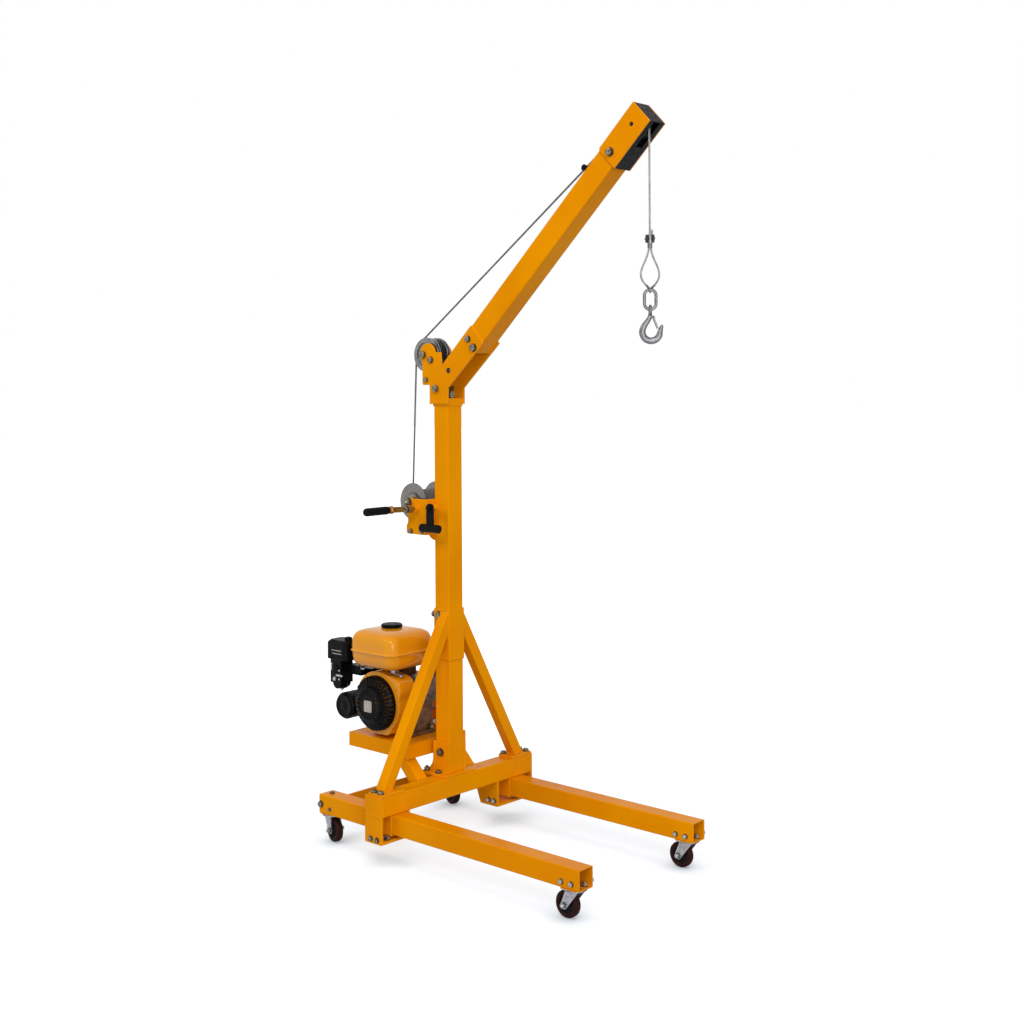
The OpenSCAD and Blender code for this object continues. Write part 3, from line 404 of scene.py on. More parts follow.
def hexagon(name, across, height):
    """A six-sided head, given across its flats, with its top corners turned off."""
    bpy.ops.object.select_all(action="DESELECT")
    radius = across / 3**0.5 * MM
    bpy.ops.mesh.primitive_cylinder_add(
        vertices=6, radius=radius, depth=height * MM, location=(0, 0, height / 2 * MM))
    piece = bpy.context.object
    piece.name = name
    bpy.ops.object.transform_apply(location=True)
    edit(piece)
    choose("FACE", lambda at, way: way.z > 0.9)
    bpy.ops.mesh.inset(thickness=across * 0.07 * MM)
    bpy.ops.transform.translate(value=(0, 0, across * 0.035 * MM))
    bpy.ops.mesh.inset(thickness=across * 0.08 * MM)
    bpy.ops.transform.translate(value=(0, 0, across * 0.004 * MM))
    choose("EDGE", lambda at, way: abs(way.normalized().z) > 0.9)
    bpy.ops.mesh.bevel(offset=0.35 * MM, segments=2)
    leave()
    return piece


RINGS = {}
washer_zinc = plated("washer_zinc", (0.085, 0.070, 0.045), (0.040, 0.030, 0.020), gloss=0.4)


def fastener(name, size, thread_out):
    """A bolt's head, or a nut with thread_out of thread showing; its washer goes to RINGS."""
    washer_t, across = size * 0.18, size * 1.6
    ring = turned(
        name + "_washer",
        [(size * 0.5, 0), (size * 1.02, 0), (size * 1.08, washer_t * 0.3), (size * 1.08, washer_t * 0.75),
         (size * 1.02, washer_t), (size * 0.5, washer_t)], 28)
    head = hexagon(name, across, size * (0.8 if thread_out else 0.62))
    head.data.transform(Matrix.Translation((0, 0, washer_t * MM)))
    RINGS[name] = ring
    parts = [head]
    if thread_out:
        top = washer_t + size * 0.8
        crest, root, pitch = size * 0.5, size * 0.43, size * 0.15
        line = [(0.001, top - 1), (root, top - 1)]
        for i in range(int(thread_out / pitch)):
            line += [(crest, top + (i + 0.3) * pitch), (root, top + (i + 0.8) * pitch)]
        line += [(root * 0.86, top + thread_out), (0.001, top + thread_out + 0.3)]
        parts.append(turned(name + "_thread", line, 18))
    return joined(parts, name)


bolt_10 = fastener("bolt_10", 10, 0)
nut_10 = fastener("nut_10", 10, 5)
bolt_8 = fastener("bolt_8", 8, 0)
nut_8 = fastener("nut_8", 8, 4)
bolt_12 = fastener("bolt_12", 12, 0)
nut_12 = fastener("nut_12", 12, 6)
bolt_6 = fastener("bolt_6", 6, 0)
WAYS = {"+x": (1, 0, 0), "-x": (-1, 0, 0), "+y": (0, 1, 0), "-y": (0, -1, 0),
        "+z": (0, 0, 1), "-z": (0, 0, -1)}


def copied(model, at, way, spin=15.0, grow=1.0):
    """A copy with its own mesh, standing on place at and pointing along way."""
    piece = put(model.copy())
    piece.data = model.data.copy()
    turn = Vector((0, 0, 1)).rotation_difference(Vector(WAYS.get(way, way))).to_matrix().to_4x4()
    piece.data.transform(Matrix.Translation(at) @ turn @ Matrix.Rotation(radians(spin), 4, "Z")
                         @ Matrix.Scale(grow, 4))
    return piece


def bolted(name, places, body="base", finish=None):
    """Sets copies of a fastener at its places and joins them as one set of bolts."""
    parts = [copied(model, at, way, 17.0 * i, *grow)
             for i, (model, at, way, *grow) in enumerate(places)]
    rings = [copied(RINGS[model.name], at, way, 0, *grow) for model, at, way, *grow in places]
    finished(joined(rings, name + "_washers"), washer_zinc, body, 28)
    return finished(joined(parts, name), finish or yellow_zinc, body, 28)


leg_bolts = []
for side, out in ((-1, "-y"), (1, "+y")):
    leg_bolts += [(model, spot(x, side * y, z), way) for model, x, y, z, way in (
        (bolt_10, -281, 290, 116, out), (nut_8, -290, 278, 112, "-x"), (bolt_6, -240, 290, 106, out),
        (nut_10, 34, 302, 74, "+z"), (bolt_8, -263, 261, 145.5, "+z"), (bolt_8, 2, 337, 80, out),
        (bolt_8, 30, 337, 80, out), (bolt_10, 4, 324, 214, "+z"), (bolt_10, 32, 324, 214, "+z"),
        (bolt_10, -3, 252, 214, "+z"))]
bolted("leg_and_socket_bolts", leg_bolts)

# Welds of the sleeves, the sockets, the caster plates and the rear angle, painted over.
runs = []
for side in (-1, 1):
    runs.append((1.7, spot(-22, side * 337.2, 148), spot(46, side * 337.2, 148)))
    runs += [(2.2, spot(-8, side * y, 146), spot(44, side * y, 146)) for y in (228, 294)]
    runs.append((2.4, spot(-10, side * 328, 206), spot(46, side * 328, 206)))
    runs += [(2.4, spot(x, side * 328, 204), spot(x, side * 328, 148)) for x in (-12, 48)]
    runs += [(2.0, spot(x, side * 231, low), spot(x, side * 231, 141))
             for x, low in ((-220, 90), (-226, 95))]
    runs.append((2.0, spot(-266, side * 231, 93.5), spot(-228, side * 231, 93.5)))
    runs += [(1.6, spot(x - 26, side * 261 + y, 87), spot(x + 26, side * 261 + y, 87))
             for x in (728, -259) for y in (-29.5, 29.5)]
welded("undercarriage_welds", runs)

# --------------------------------------
# Casters
# Pressed steel plates and forks, bright zinc plated, with a double ball race under the
# plate. The wheels are dark brown rubber tyres on black moulded centres with a steel hub.
# --------------------------------------

bright_zinc = plated("bright_zinc", (0.42, 0.42, 0.43), (0.26, 0.26, 0.27), gloss=0.38)


def rubber(name, colour, deeper):
    """Matt moulded rubber with a dusty bloom."""
    return patterned(
        name, (colour, deeper), (60.0, 5.0, 0.55, 0.35, 0.7), tuple(c * 1.6 + 0.008 for c in colour),
        (230.0, 6.0, 0.7, 0.6, 0.78, 0.4), (90.0, 3.0, 0.5, 0.72), [(900.0, 3.0, 0.35, 0.1)],
        specular=0.08)


brown_rubber = rubber("brown_rubber", (0.030, 0.008, 0.006), (0.016, 0.005, 0.004))
black_rubber = rubber("black_rubber", (0.0045, 0.0040, 0.0040), (0.0022, 0.0020, 0.0020))

bolted("socket_nuts", [(nut_8, spot(x, y, 84), way) for x in (10, 34)
                       for y, way in ((168, "-y"), (-220, "+y"))], finish=bright_zinc)
front_bolts = []
for side, out, inn in ((-1, "-y", "+y"), (1, "+y", "-y")):
    for x in (703, 738):
        front_bolts.append((bolt_8, spot(x, side * 290, 104), out, 0.92))
        front_bolts.append((nut_8, spot(x, side * 232, 104), inn, 0.92))
    front_bolts.append((nut_8, spot(756, side * 261 + 29, 104), "+y"))
bolted("front_leg_bolts", front_bolts, finish=bright_zinc)
bolted("caster_nuts", [(nut_8, spot(x, side * 261 + y, 90.5), "+z") for side in (-1, 1)
                       for x in (708, 748) for y in (-14, 14)], finish=bright_zinc)
eased("caster_plates", bright_zinc, 0.5)
for end in ("front", "rear"):
    for side in ("left", "right"):
        eased(f"caster_fork_{end}_{side}", bright_zinc, 0.5)

low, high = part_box("wheel_front_right")
wheel_r = (high.z - low.z) / 2 / MM
tyre_half = 11.0


def both_ends(half):
    """A turned profile that is the same at both ends, from its first half."""
    return half + [(r, -along) for r, along in half[::-1] if along]


tyre_line = both_ends([
    (24.5, -tyre_half + 1.6), (26.5, -tyre_half), (31.5, -tyre_half), (33.0, -tyre_half + 0.5),
    (35.2, -tyre_half + 1.1), (36.9, -tyre_half + 3.2), (wheel_r, -5.4), (wheel_r, -4.6),
    (wheel_r - 0.7, -4.2), (wheel_r - 0.7, -3.6), (wheel_r, -3.2)])
centre_line = both_ends([
    (5.1, -15.4), (9.4, -15.4), (10.1, -14.8), (10.1, -7.2), (12.5, -5.8), (21.0, -5.2), (23.2, -6.6),
    (24.0, -9.2), (25.4, -9.4)])
black_moulding = rubber("black_moulding", (0.012, 0.011, 0.012), (0.007, 0.007, 0.008))
caster_tyre = turned("caster_tyre", tyre_line + [tyre_line[0]], 72)
caster_centre = turned("caster_centre", centre_line + [centre_line[0]], 56)

# Six shallow webs across the dish on each side of the centre.
edit(caster_centre)
for up in (-1, 1):
    for i in range(6):
        bpy.ops.mesh.primitive_cube_add(size=1, location=(0, 0, 0))
        bpy.ops.transform.resize(value=(0.0140, 0.0024, 0.0030))
        bpy.ops.transform.translate(value=(0.0165, 0, up * 0.0066))
        bpy.ops.mesh.bevel(offset=0.0006, segments=2)
        bpy.ops.mesh.select_linked()
        bpy.ops.transform.rotate(value=radians(60 * i), orient_axis="Z", center_override=(0, 0, 0))
leave()

for end, way in (("front", (0, 1, 0)), ("rear", (sin(radians(13)), cos(radians(13)), 0))):
    for side in ("left", "right"):
        wheel = f"wheel_{end}_{side}"
        hub = middle(wheel)
        tyre = copied(caster_tyre, hub, way, 0)
        tyre.name = f"tyre_{end}_{side}"
        finished(tyre, brown_rubber, wheel, 40)
        centre = copied(caster_centre, hub, way, 0)
        centre.name = f"wheel_centre_{end}_{side}"
        finished(centre, black_moulding, wheel, 35)
        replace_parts(centre, wheel)
        out = Vector(way) * 19.1 * MM
        bolted(f"axle_nuts_{end}_{side}",
               [(nut_8, hub + out, way), (nut_8, hub - out, tuple(-c for c in way))],
               f"caster_{end}_{side}", bright_zinc)
for spare in (caster_tyre, caster_centre):
    bpy.data.objects.remove(spare)

# --------------------------------------
# Mast, its foot, the collar and the two braces
# A square tube stands in a plate foot bolted to the crossbeam; a sleeve welded round it
# takes the two leaning braces. All of it is orange enamel over welds left as laid.
# --------------------------------------

for part in ("mast_foot", "mast", "mast_collar", "brace_left", "brace_right"):
    eased(part, orange_enamel)

bolted("mast_bolts", [
    (bolt_12, spot(-2, -38, 276), "-y"), (nut_12, spot(-2, 38, 276), "+y"),
    *[(model, spot(x, side * y, 214), "+z") for model, x, y in
      ((bolt_10, 0, 51), (nut_10, -50, 52), (nut_10, -50, 20)) for side in (-1, 1)],
    (nut_12, spot(-34.3, -23, 704), "-x"), (bolt_12, spot(-10, -34.3, 704), "-y"),
    (nut_10, spot(-10, 34.3, 704), "+y"), (bolt_6, spot(-31, 0, 410), "-x")])

runs = []
for side in (-1, 1):
    runs += [(2.2, spot(x, side * 38, 216), spot(x, side * 38, 306)) for x in (-31, 31)]
    runs.append((2.2, spot(-62, side * 38.5, 214), spot(30, side * 38.5, 214)))
    runs += [(2.2, spot(x, side * 272, 214), spot(x, side * 308, 214)) for x in (-7, 29)]
    runs += [(1.8, spot(x, side * 34.6, 628), spot(x, side * 34.6, 716)) for x in (-7, 29)]
corners = ((-32, -32), (32, -32), (32, 32), (-32, 32), (-32, -32))
runs += [(1.4, *[spot(x, y, z) for x, y in corners]) for z in (565, 724)]
welded("mast_welds", runs)

# --------------------------------------
# Engine platform
# A shallow tray folded from sheet steel, rim down, on two square struts that lean back
# from the crossbeam. The engine's base is held to it by four bolts.
# --------------------------------------

for part in ("platform", "platform_struts"):
    eased(part, orange_enamel, 1.6)

# --------------------------------------
# Engine body: crankcase, cylinder and gearbox
# Cast aluminium with its sand-cast skin, a finned cylinder leaning to the mast, and a
# reduction gearbox in dark orange on the far side, closed by a ring of small bolts; its dark orange is
# painted shade.
# --------------------------------------


def cast_metal(name, colour, deeper, metallic=0.75, rough=0.5):
    """A sand-cast skin: pebbled, a little oxidised, darker where oil has run."""
    return patterned(
        name, (colour, deeper), (55.0, 6.0, 0.6, 0.35, 0.68), tuple(c * 0.45 for c in deeper),
        (14.0, 5.0, 0.7, 0.5, 0.7, 0.6), (160.0, 3.0, rough - 0.08, rough + 0.16),
        [(240.0, 4.0, 0.5, 0.25), (1100.0, 3.0, 0.4, 0.08)], metallic=metallic)


cast_aluminium = cast_metal("cast_aluminium", (0.27, 0.25, 0.23), (0.13, 0.115, 0.10))
# The gearbox enamel is a darker, redder copy of the orange: painted shade for the shadow behind the mast.
gearbox_enamel = enamel("gearbox_enamel", (0.60, 0.115, 0.003), (0.46, 0.075, 0.002), 0.38, 0.25)
# The crankcase's dark brown-orange is painted shade: the casting is darkened for the shadow it lies in
# under the platform and the mast.
dark_casting = cast_metal("dark_casting", (0.20, 0.080, 0.016), (0.075, 0.036, 0.014), 0.3, 0.45)
eased("crankcase", dark_casting, 2.0)
eased("cylinder_block", cast_aluminium, 0.5)
eased("gearbox", gearbox_enamel, 2.0)


def centre_of(cad):
    """The X and Z of a turning piece's middle, in millimetres from the mast and the floor."""
    return (middle(cad).x - mast_line.x) / MM, middle(cad).z / MM


def rim_spot(x, y, z, r, angle):
    """A place on a circle round (x, z), at an angle in degrees."""
    return spot(x + r * cos(radians(angle)), y, z + r * sin(radians(angle)))


def ringed(model, r, y, z, way, angles):
    """Fasteners on a circle in line with the engine's shaft."""
    return [(model, rim_spot(shaft_x, y, z, r, angle), way) for angle in angles]


shaft_x, shaft_z = centre_of("recoil_cover")
output_z = shaft_z - 12
tray_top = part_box("platform")[1].z / MM
bolted("engine_bolts", [
    *[(nut_10, spot(x, y, tray_top + 12), "+z") for x in (shaft_x - 82, shaft_x + 76) for y in (-46, 38)],
    *ringed(bolt_8, 56, 66, output_z, "+y", range(30, 360, 60)),
    *ringed(bolt_6, 42, 112, output_z, "+y", range(0, 360, 60))])
bolted("engine_plugs", [
    (bolt_10, spot(-38, -30, 366), "+x"), (bolt_12, spot(shaft_x + 74, -42, tray_top + 30), "-y"),
    (bolt_8, spot(shaft_x + 58, -55, tray_top + 98), "-y"),
    (bolt_8, spot(shaft_x - 66, 50, tray_top + 96), "+y")], finish=bright_zinc)
output = turned("output_shaft", [
    (0.001, 112.4), (17.5, 112.4), (17.5, 121), (16.5, 122), (12.4, 122), (12.4, 126.6), (11.0, 128),
    (0.001, 128)], 40, (0, 1, 0), spot(shaft_x, 0, output_z))
finished(output, bright_zinc, "base", 40)

# --------------------------------------
# Fan shroud and recoil starter
# The shroud is a deep pressing in yellow enamel. The starter's cover is black moulded
# plastic with slots round its face and rim; its square badge is left blank.
# --------------------------------------

engine_enamel = enamel("engine_enamel", (0.84, 0.335, 0.006), (0.76, 0.275, 0.004), 0.15, 0.35)
eased("fan_shroud", engine_enamel, 5.0, steps=4)


def moulded(name, colour, deeper, gloss=0.4, specular=0.07):
    """Textured moulded plastic with a slight sheen and pale scuffs."""
    return patterned(
        name, (colour, deeper), (38.0, 4.0, 0.55, 0.35, 0.7), tuple(c * 2.0 + 0.01 for c in colour),
        (160.0, 8.0, 0.8, 0.64, 0.78, 0.4), (120.0, 3.0, gloss - 0.08, gloss + 0.14),
        [(1300.0, 2.0, 0.3, 0.08)], specular=specular)


black_plastic = moulded("black_plastic", (0.0030, 0.0028, 0.0030), (0.0014, 0.0013, 0.0014))
eased("recoil_cover", black_plastic, 0.7)


def slab(name, low, high, edge, corner=0.0, along="y"):
    """A block between two corners: upright corners rounded along one axis, then edges eased."""
    bpy.ops.object.select_all(action="DESELECT")
    bpy.ops.mesh.primitive_cube_add(size=1, location=(low + high) / 2)
    piece = bpy.context.object
    piece.name = name
    piece.scale = high - low
    bpy.ops.object.transform_apply(location=True, rotation=True, scale=True)
    edit(piece)
    if corner:
        line = Vector(WAYS["+" + along])
        choose("EDGE", lambda at, way: abs(way.normalized().dot(line)) > 0.9)
        bpy.ops.mesh.bevel(offset=corner * MM, segments=6)
    leave()
    rim = piece.modifiers.new("rim", "BEVEL")
    rim.width, rim.segments, rim.limit_method = edge * MM, 3, "ANGLE"
    rim.angle_limit = radians(50)
    bpy.ops.object.modifier_apply(modifier="rim")
    return piece


# The blank badge in the middle of the starter, and the painted fan seen through the slots.
pale_badge = moulded("pale_badge", (0.46, 0.41, 0.36), (0.34, 0.30, 0.26), 0.35, 0.3)
badge = slab("starter_badge", spot(shaft_x - 17.5, -166.6, shaft_z - 23),
             spot(shaft_x + 17.5, -164.4, shaft_z + 13), 0.5, 4.0)
edit(badge)
choose("FACE", lambda at, way: way.y < -0.99)
bpy.ops.mesh.inset(thickness=1.6 * MM)
bpy.ops.transform.translate(value=(0, 0.5 * MM, 0))
leave()
finished(badge, pale_badge, "base", 35)
fan_line = [(15, 0), (47.5, 0), (47.5, 1.4), (38, 1.4), (36, 2.6), (28, 2.6), (26, 1.4), (15, 1.4)]
fan_back = turned("fan_hub", fan_line + [fan_line[0]], 60, (0, -1, 0), spot(shaft_x, -154.2, shaft_z))
finished(fan_back, engine_enamel, "base", 30)
bolted("starter_screws", ringed(bolt_6, 78, -143.5, shaft_z, "-y", (35, 145, 270)),
       finish=black_plastic)

# --------------------------------------
# Fuel tank and cap
# Two steel pressings seamed together at mid height, in yellow enamel, with a black
# ribbed cap on a short neck. Both halves are drawn in by steps away from the seam.
# --------------------------------------

tank_low, tank_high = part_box("fuel_tank")
tank_mid = middle("fuel_tank")
tank_size = tank_high - tank_low
seam_z = tank_low.z + 50 * MM
bpy.ops.object.select_all(action="DESELECT")
bpy.ops.mesh.primitive_cube_add(size=1, location=(tank_mid.x, tank_mid.y, seam_z + 0.0015))
tank = bpy.context.object
tank.name = "tank_pressings"
tank.scale = (tank_size.x, tank_size.y, 0.003)
bpy.ops.object.transform_apply(location=True, rotation=True, scale=True)
edit(tank)
choose("EDGE", lambda at, way: abs(way.normalized().z) > 0.9)
bpy.ops.mesh.bevel(offset=40 * MM, segments=16)


def stepped(up, steps):
    """Raises the end face through steps of (inward, outward) millimetres, as a press draws it."""
    choose("FACE", lambda at, way: way.z * up > 0.9)
    before = 0.0
    for inward, rise in steps:
        grow = [(size - 2 * inward * MM) / (size - 2 * before * MM) for size in tank_size.xy]
        bpy.ops.mesh.extrude_region_move(TRANSFORM_OT_translate={"value": (0, 0, up * rise * MM)})
        bpy.ops.transform.resize(value=(*grow, 1), center_override=(tank_mid.x, tank_mid.y, 0))
        before = inward


stepped(1, [(0.2, 0.2), (2.4, 0.3), (3.2, 0.8), (3.2, 12), (3.6, 12), (4.8, 10), (7.0, 8), (10.4, 6.4),
            (15.0, 5.0), (21.0, 3.8), (28.0, 2.8), (37.0, 2.2), (48.0, 1.8), (60.0, 0.9), (72.0, 0.3)])
stepped(-1, [(0.2, 0.2), (2.4, 0.3), (3.2, 0.8), (4.4, 14), (6.2, 11), (8.8, 8), (12.4, 6.0), (17.0, 4.6),
             (23.0, 3.0), (31.0, 1.4), (42.0, 0.7)])
leave()
finished(tank, engine_enamel, "base", 50)
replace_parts(tank, "fuel_tank")

neck = turned("tank_neck", [(0.001, -4), (33, -4), (33, -0.6), (31, 0.4), (0.001, 0.4)], 48,
              at=(*middle("tank_cap").xy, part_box("tank_cap")[0].z))
finished(neck, engine_enamel, "base", 40)
eased("tank_cap", black_plastic, 0.6)

# --------------------------------------
# Air cleaner, carburettor and round housing
# Black moulded covers on the starter's side: the filter box with its thumb screw and two
# louvre ribs, the carburettor below it, and the round housing beside the starter.
# --------------------------------------

eased("air_cleaner", black_plastic, 2.2, steps=3)
eased("carburettor", black_plastic, 1.5)
eased("round_housing", black_plastic, 3.0, steps=3)
cleaner_x = centre_of("air_cleaner")[0]
cleaner_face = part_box("air_cleaner")[0].y / MM
ribs = [slab("louvre", spot(cleaner_x + a, cleaner_face - 0.9, z),
             spot(cleaner_x + b, cleaner_face + 1, z + 2.6), 0.5)
        for a, b, z in ((-20, 26, 567), (-16, 28, 557))]
finished(joined(ribs, "cleaner_louvres"), pale_badge, "base", 35)
dark_ribs = [slab("rib", spot(cleaner_x + a, cleaner_face - 0.8, 541),
                  spot(cleaner_x + a + 3, cleaner_face + 1, 551), 0.5)
             for a in range(-30, 34, 9)]
dark_ribs += [slab("rib", spot(-407, y, 545), spot(-405, y + 4, 585), 0.6) for y in range(-150, -90, 12)]
finished(joined(dark_ribs, "cleaner_ribs"), black_plastic, "base", 35)
knob = [(0.001, 0), (9.6, 0), (11.2, 1.4), (11.2, 7.6), (9.6, 9.8), (4, 11.4), (0.001, 11.6)]
thumb = turned("cleaner_knob", knob, 40, at=spot(cleaner_x + 23, -127, 600))
edit(thumb)
core = spot(cleaner_x + 23, -127, 604)
choose("FACE", lambda at, way: abs(way.z) < 0.2
       and int(degrees(atan2(at.y - core.y, at.x - core.x)) // 9) % 4 == 0)
bpy.ops.mesh.extrude_region_shrink_fatten(TRANSFORM_OT_shrink_fatten={"value": 1.2 * MM})
leave()
finished(thumb, black_plastic, "base", 35)

# Throttle shaft, choke lever and their bright studs on the carburettor's side.
studs = [
    turned("stud", [(0.001, 0), (6.6, 0), (7.4, 2.2), (6.6, 5.4), (4.0, 7.6), (0.001, 8.2)], 32,
           (0, -1, 0), spot(-372, -151.6, 474)),
    turned("float_bolt", [(0.001, 0), (7.6, 0), (7.6, 4), (4.4, 4.6), (4.4, 8), (0.001, 8.4)], 6,
           (0, 0, -1), spot(-370, -125, 440.4)),
    *[turned("stud", [(0.001, 0), (3.4, 0), (3.4, 2.2), (2.2, 3.4), (0.001, 3.4)], 20, (0, -1, 0),
             spot(x, -151.8, z)) for x, z in ((-352, 502), (-388, 520), (-352, 474))],
    slab("lever", spot(-366, -155, 483), spot(-334, -153, 490), 0.7, 3.2),
    slab("lever", spot(-392, -154.6, 500), spot(-386, -152.8, 524), 0.6, 2.6)]
finished(joined(studs, "carburettor_studs"), bright_zinc, "base", 35)
cover = [(0.001, 0), (15, 0), (15, 3), (13, 5.2), (7, 6.2), (5.6, 8.0), (0.001, 8.4)]
bowl = [(0.001, 0), (17, 0), (20.4, 3), (20.4, 22), (22.4, 23.4), (22.4, 26), (0.001, 26)]
for piece in (turned("carburettor_cover", cover, 40, (0, -1, 0), spot(-370, -151.6, 504)),
              turned("float_bowl", bowl, 48, (0, 0, 1), spot(-370, -125, 441.4))):
    finished(piece, black_plastic, "base", 35)

# Governor bracket, its spring and throttle lever between the shroud and the tank.
control = [slab("bracket", spot(-302, -112, 516.4), spot(-246, -92, 518.2), 0.5, 3.0, "z"),
           slab("lever", spot(-304, -120, 505), spot(-298, -118.4, 526), 0.5, 2.2),
           slab("lever", spot(-290, -122, 512), spot(-264, -120.4, 517), 0.5, 2.0)]
control += [copied(bolt_6, spot(x, y, z), "+z", 20) for x, y, z in (
    (-292, -100, 518.2), (-262, -100, 518.2), (-146, -104, 518.0), (-112, -104, 506.0))]
control.append(slab("tank_strap", spot(-160, -108, 512), spot(-104, -92, 514), 0.5, 4.0, "z"))
control.append(slab("tank_strap", spot(-156, -108, 512), spot(-138, -92, 527), 0.5, 3.0, "y"))
coil = [spot(-262 + 34 * i / 240, -119 + 3 * cos(i * pi / 10), 521 + 3 * sin(i * pi / 10))
        for i in range(241)]


def thin_wire(path, line):
    """The spring's wire, 1.1 mm thick."""
    path.bevel_depth, path.bevel_resolution = 0.55 * MM, 2


control.append(drawn("spring", coil, thin_wire))
finished(joined(control, "governor_bracket"), bright_zinc, "base", 35)

# The round housing's lid: a raised rim round a dished face with a boss in its middle.
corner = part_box("round_housing")[0]
lid = turned("housing_lid", [
    (0.001, 0), (37, 0), (37, 1.4), (34, 2.6), (31, 1.4), (15, 1.4), (13, 2.8), (0.001, 3.0)], 56,
    (0, -1, 0), Vector((corner.x + 43 * MM, corner.y + 1.4 * MM, 386 * MM)))
finished(lid, black_plastic, "base", 35)

# --------------------------------------
# Silencer
# A pressed steel box in heat-proof black beside the cylinder head. Its louvred guard is
# held off it by four bolts, and the outlet is a short tube on top.
# --------------------------------------

silencer_black = cast_metal("silencer_black", (0.020, 0.018, 0.017), (0.010, 0.009, 0.009), 0.3, 0.55)
eased("silencer", silencer_black, 3.0, steps=3)
muffler_x = (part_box("silencer")[1].x - mast_line.x) / MM - 36
guard = [slab("guard", spot(muffler_x - 32, 104.0, 467), spot(muffler_x + 32, 106.0, 521), 0.6, 8.0)]
guard += [slab("louvre", spot(muffler_x - 24, 105.4, z), spot(muffler_x + 24, 109.0, z + 3.2), 1.2)
          for z in range(472, 516, 7)]
guard.append(turned("outlet", [(7.5, -6), (9, -6), (9, 9), (8.4, 10), (7.5, 9.4), (7.5, -6)], 36,
                    (0, 0, 1), spot(muffler_x - 14, 88, 526)))
guard += [copied(bolt_6, spot(muffler_x + x, 106, z), "+y", 10) for z in (472, 516) for x in (-27, 27)]
finished(joined(guard, "silencer_guard"), silencer_black, "base", 35)

# --------------------------------------
# Winch
# Folded orange side plates carry a zinc-plated drum, its toothed gear and the crank's
# pinion. The crank's grip and the hanging release handle are black rubber over steel.
# --------------------------------------

drum_zinc = plated("drum_zinc", (0.21, 0.20, 0.185), (0.145, 0.138, 0.125), gloss=0.22, grain=0.04,
                   stain=0.25)
crank_zinc = plated("crank_zinc", (0.42, 0.20, 0.035), (0.20, 0.085, 0.015), 0.5, 0.32)
for part in ("winch_frame", "winch_bracket"):
    eased(part, orange_enamel, 0.7)
eased("crank", crank_zinc, 0.7)
eased("winch_drum", drum_zinc, 0.35)
eased("release_handle", black_rubber, 1.6, steps=3)
bolted("winch_bolts", [
    *[(bolt_8, spot(x, y, z), way) for x, z in ((-100, 965), (-50, 968))
      for y, way in ((-68, "-y"), (68, "+y"))],
    *[(nut_8, spot(-37, y, 972), "-x") for y in (-22, 22)], (nut_8, spot(-46, 68, 1052), "+y")])
bolted("drum_nuts", [(nut_12, spot(-105, side * 71.6, 1057), way, 1.1)
                     for side, way in ((-1, "-y"), (1, "+y"))], "winch_drum")
bolted("crank_bolt", [(bolt_10, spot(-73.2, -110, 1038.1), "-y")], "crank")
cap = turned("handle_cap", [(0.001, 0), (8.7, 0), (8.7, 6), (7.4, 7.2), (4, 7.8), (0.001, 8)], 36,
             (0, -1, 0), spot(5, -90.6, 1045))
finished(cap, black_rubber, "base", 35)
crank_end = spot(-73.2 - 75 * cos(radians(5)), 0, 1038.1 - 75 * sin(radians(5)))
knuckle = turned("crank_knuckle", [
    (5.2, 103.6), (11, 103.6), (12.6, 105), (12.6, 110), (11.4, 112), (9.6, 114), (8.6, 118), (8.2, 119),
    (5.2, 119), (5.2, 103.6)], 40, (0, -1, 0), crank_end)
finished(knuckle, crank_zinc, "crank", 40)
sleeve = [(5.6, 119.6), (10.6, 119.6), (11.6, 120.6), (12.2, 123), (12.4, 128)]
for i in range(12):
    sleeve += [(r, along + i * 6.4)
               for r, along in ((12.9, 131), (12.9, 134.4), (12.3, 135), (12.3, 136.8))]
sleeve += [(12.9, 209), (12.7, 213), (11.2, 217.5), (8, 220.2), (0.001, 220.4), (0.001, 216),
           (5.6, 215.6), (5.6, 119.6)]
grip = turned("grip_sleeve", sleeve, 48, (0, -1, 0), crank_end)
finished(grip, black_rubber, BODY_OF["crank_grip"], 40)
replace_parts(grip, "crank_grip")

# --------------------------------------
# Head: plates, axles and sheaves
# Two 5 mm plates are bolted to the mast's top and to the boom's foot. Between them two
# zinc-plated sheaves turn side by side on one axle.
# --------------------------------------

eased("head_plates", orange_enamel, 0.7)
pins = []
for x, z, r, model, nut, grow in (
        (-69, 1523, 8, bolt_12, nut_12, 1.25), (-12, 1416, 7, bolt_12, nut_12, 1.16),
        (-57, 1444, 5, bolt_10, nut_10, 1.0)):
    pins.append(turned("pin", both_ends([(0.001, -38.2), (r, -38.2)]), 40, (0, 1, 0), spot(x, 0, z)))
    pins.append(copied(model, spot(x, -38, z), "-y", 11, grow * 0.92))
    pins.append(copied(nut, spot(x, 38, z), "+y", 21, grow))
tip_pin = turned("tip_pin", both_ends([(0.001, -38.4), (3, -38.4), (3.4, -36.4), (6, -37.6)]), 40,
                 (0, 1, 0), middle("tip_sheave"))
axle_pins = finished(joined(pins, "head_and_tip_pins"), yellow_zinc, "base", 30)
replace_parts(axle_pins, "axles")
bolted("head_bolts", [
    (bolt_10, spot(-36, -38, 1506), "-y"), (nut_10, spot(-36, 38, 1506), "+y"),
    (bolt_10, spot(127, -38, 1568), "-y"), (nut_10, spot(127, 38, 1568), "+y"),
    (bolt_12, spot(150, -38, 1541), "-y"), (nut_12, spot(150, 38, 1541), "+y"),
    (bolt_12, spot(22, -12, 1397), "+x")])
sheave_steel = plated("sheave_steel", (0.27, 0.27, 0.265), (0.17, 0.17, 0.16), gloss=0.24, grain=0.04,
                      stain=0.25)
for part in ("head_sheave_left", "head_sheave_right"):
    eased(part, sheave_steel, 0.4)
dark_steel = plated("dark_steel", (0.035, 0.034, 0.033), (0.018, 0.017, 0.016), gloss=0.4)
eased("tip_sheave", dark_steel, 0.4)
finished(tip_pin, dark_steel, "base", 30)
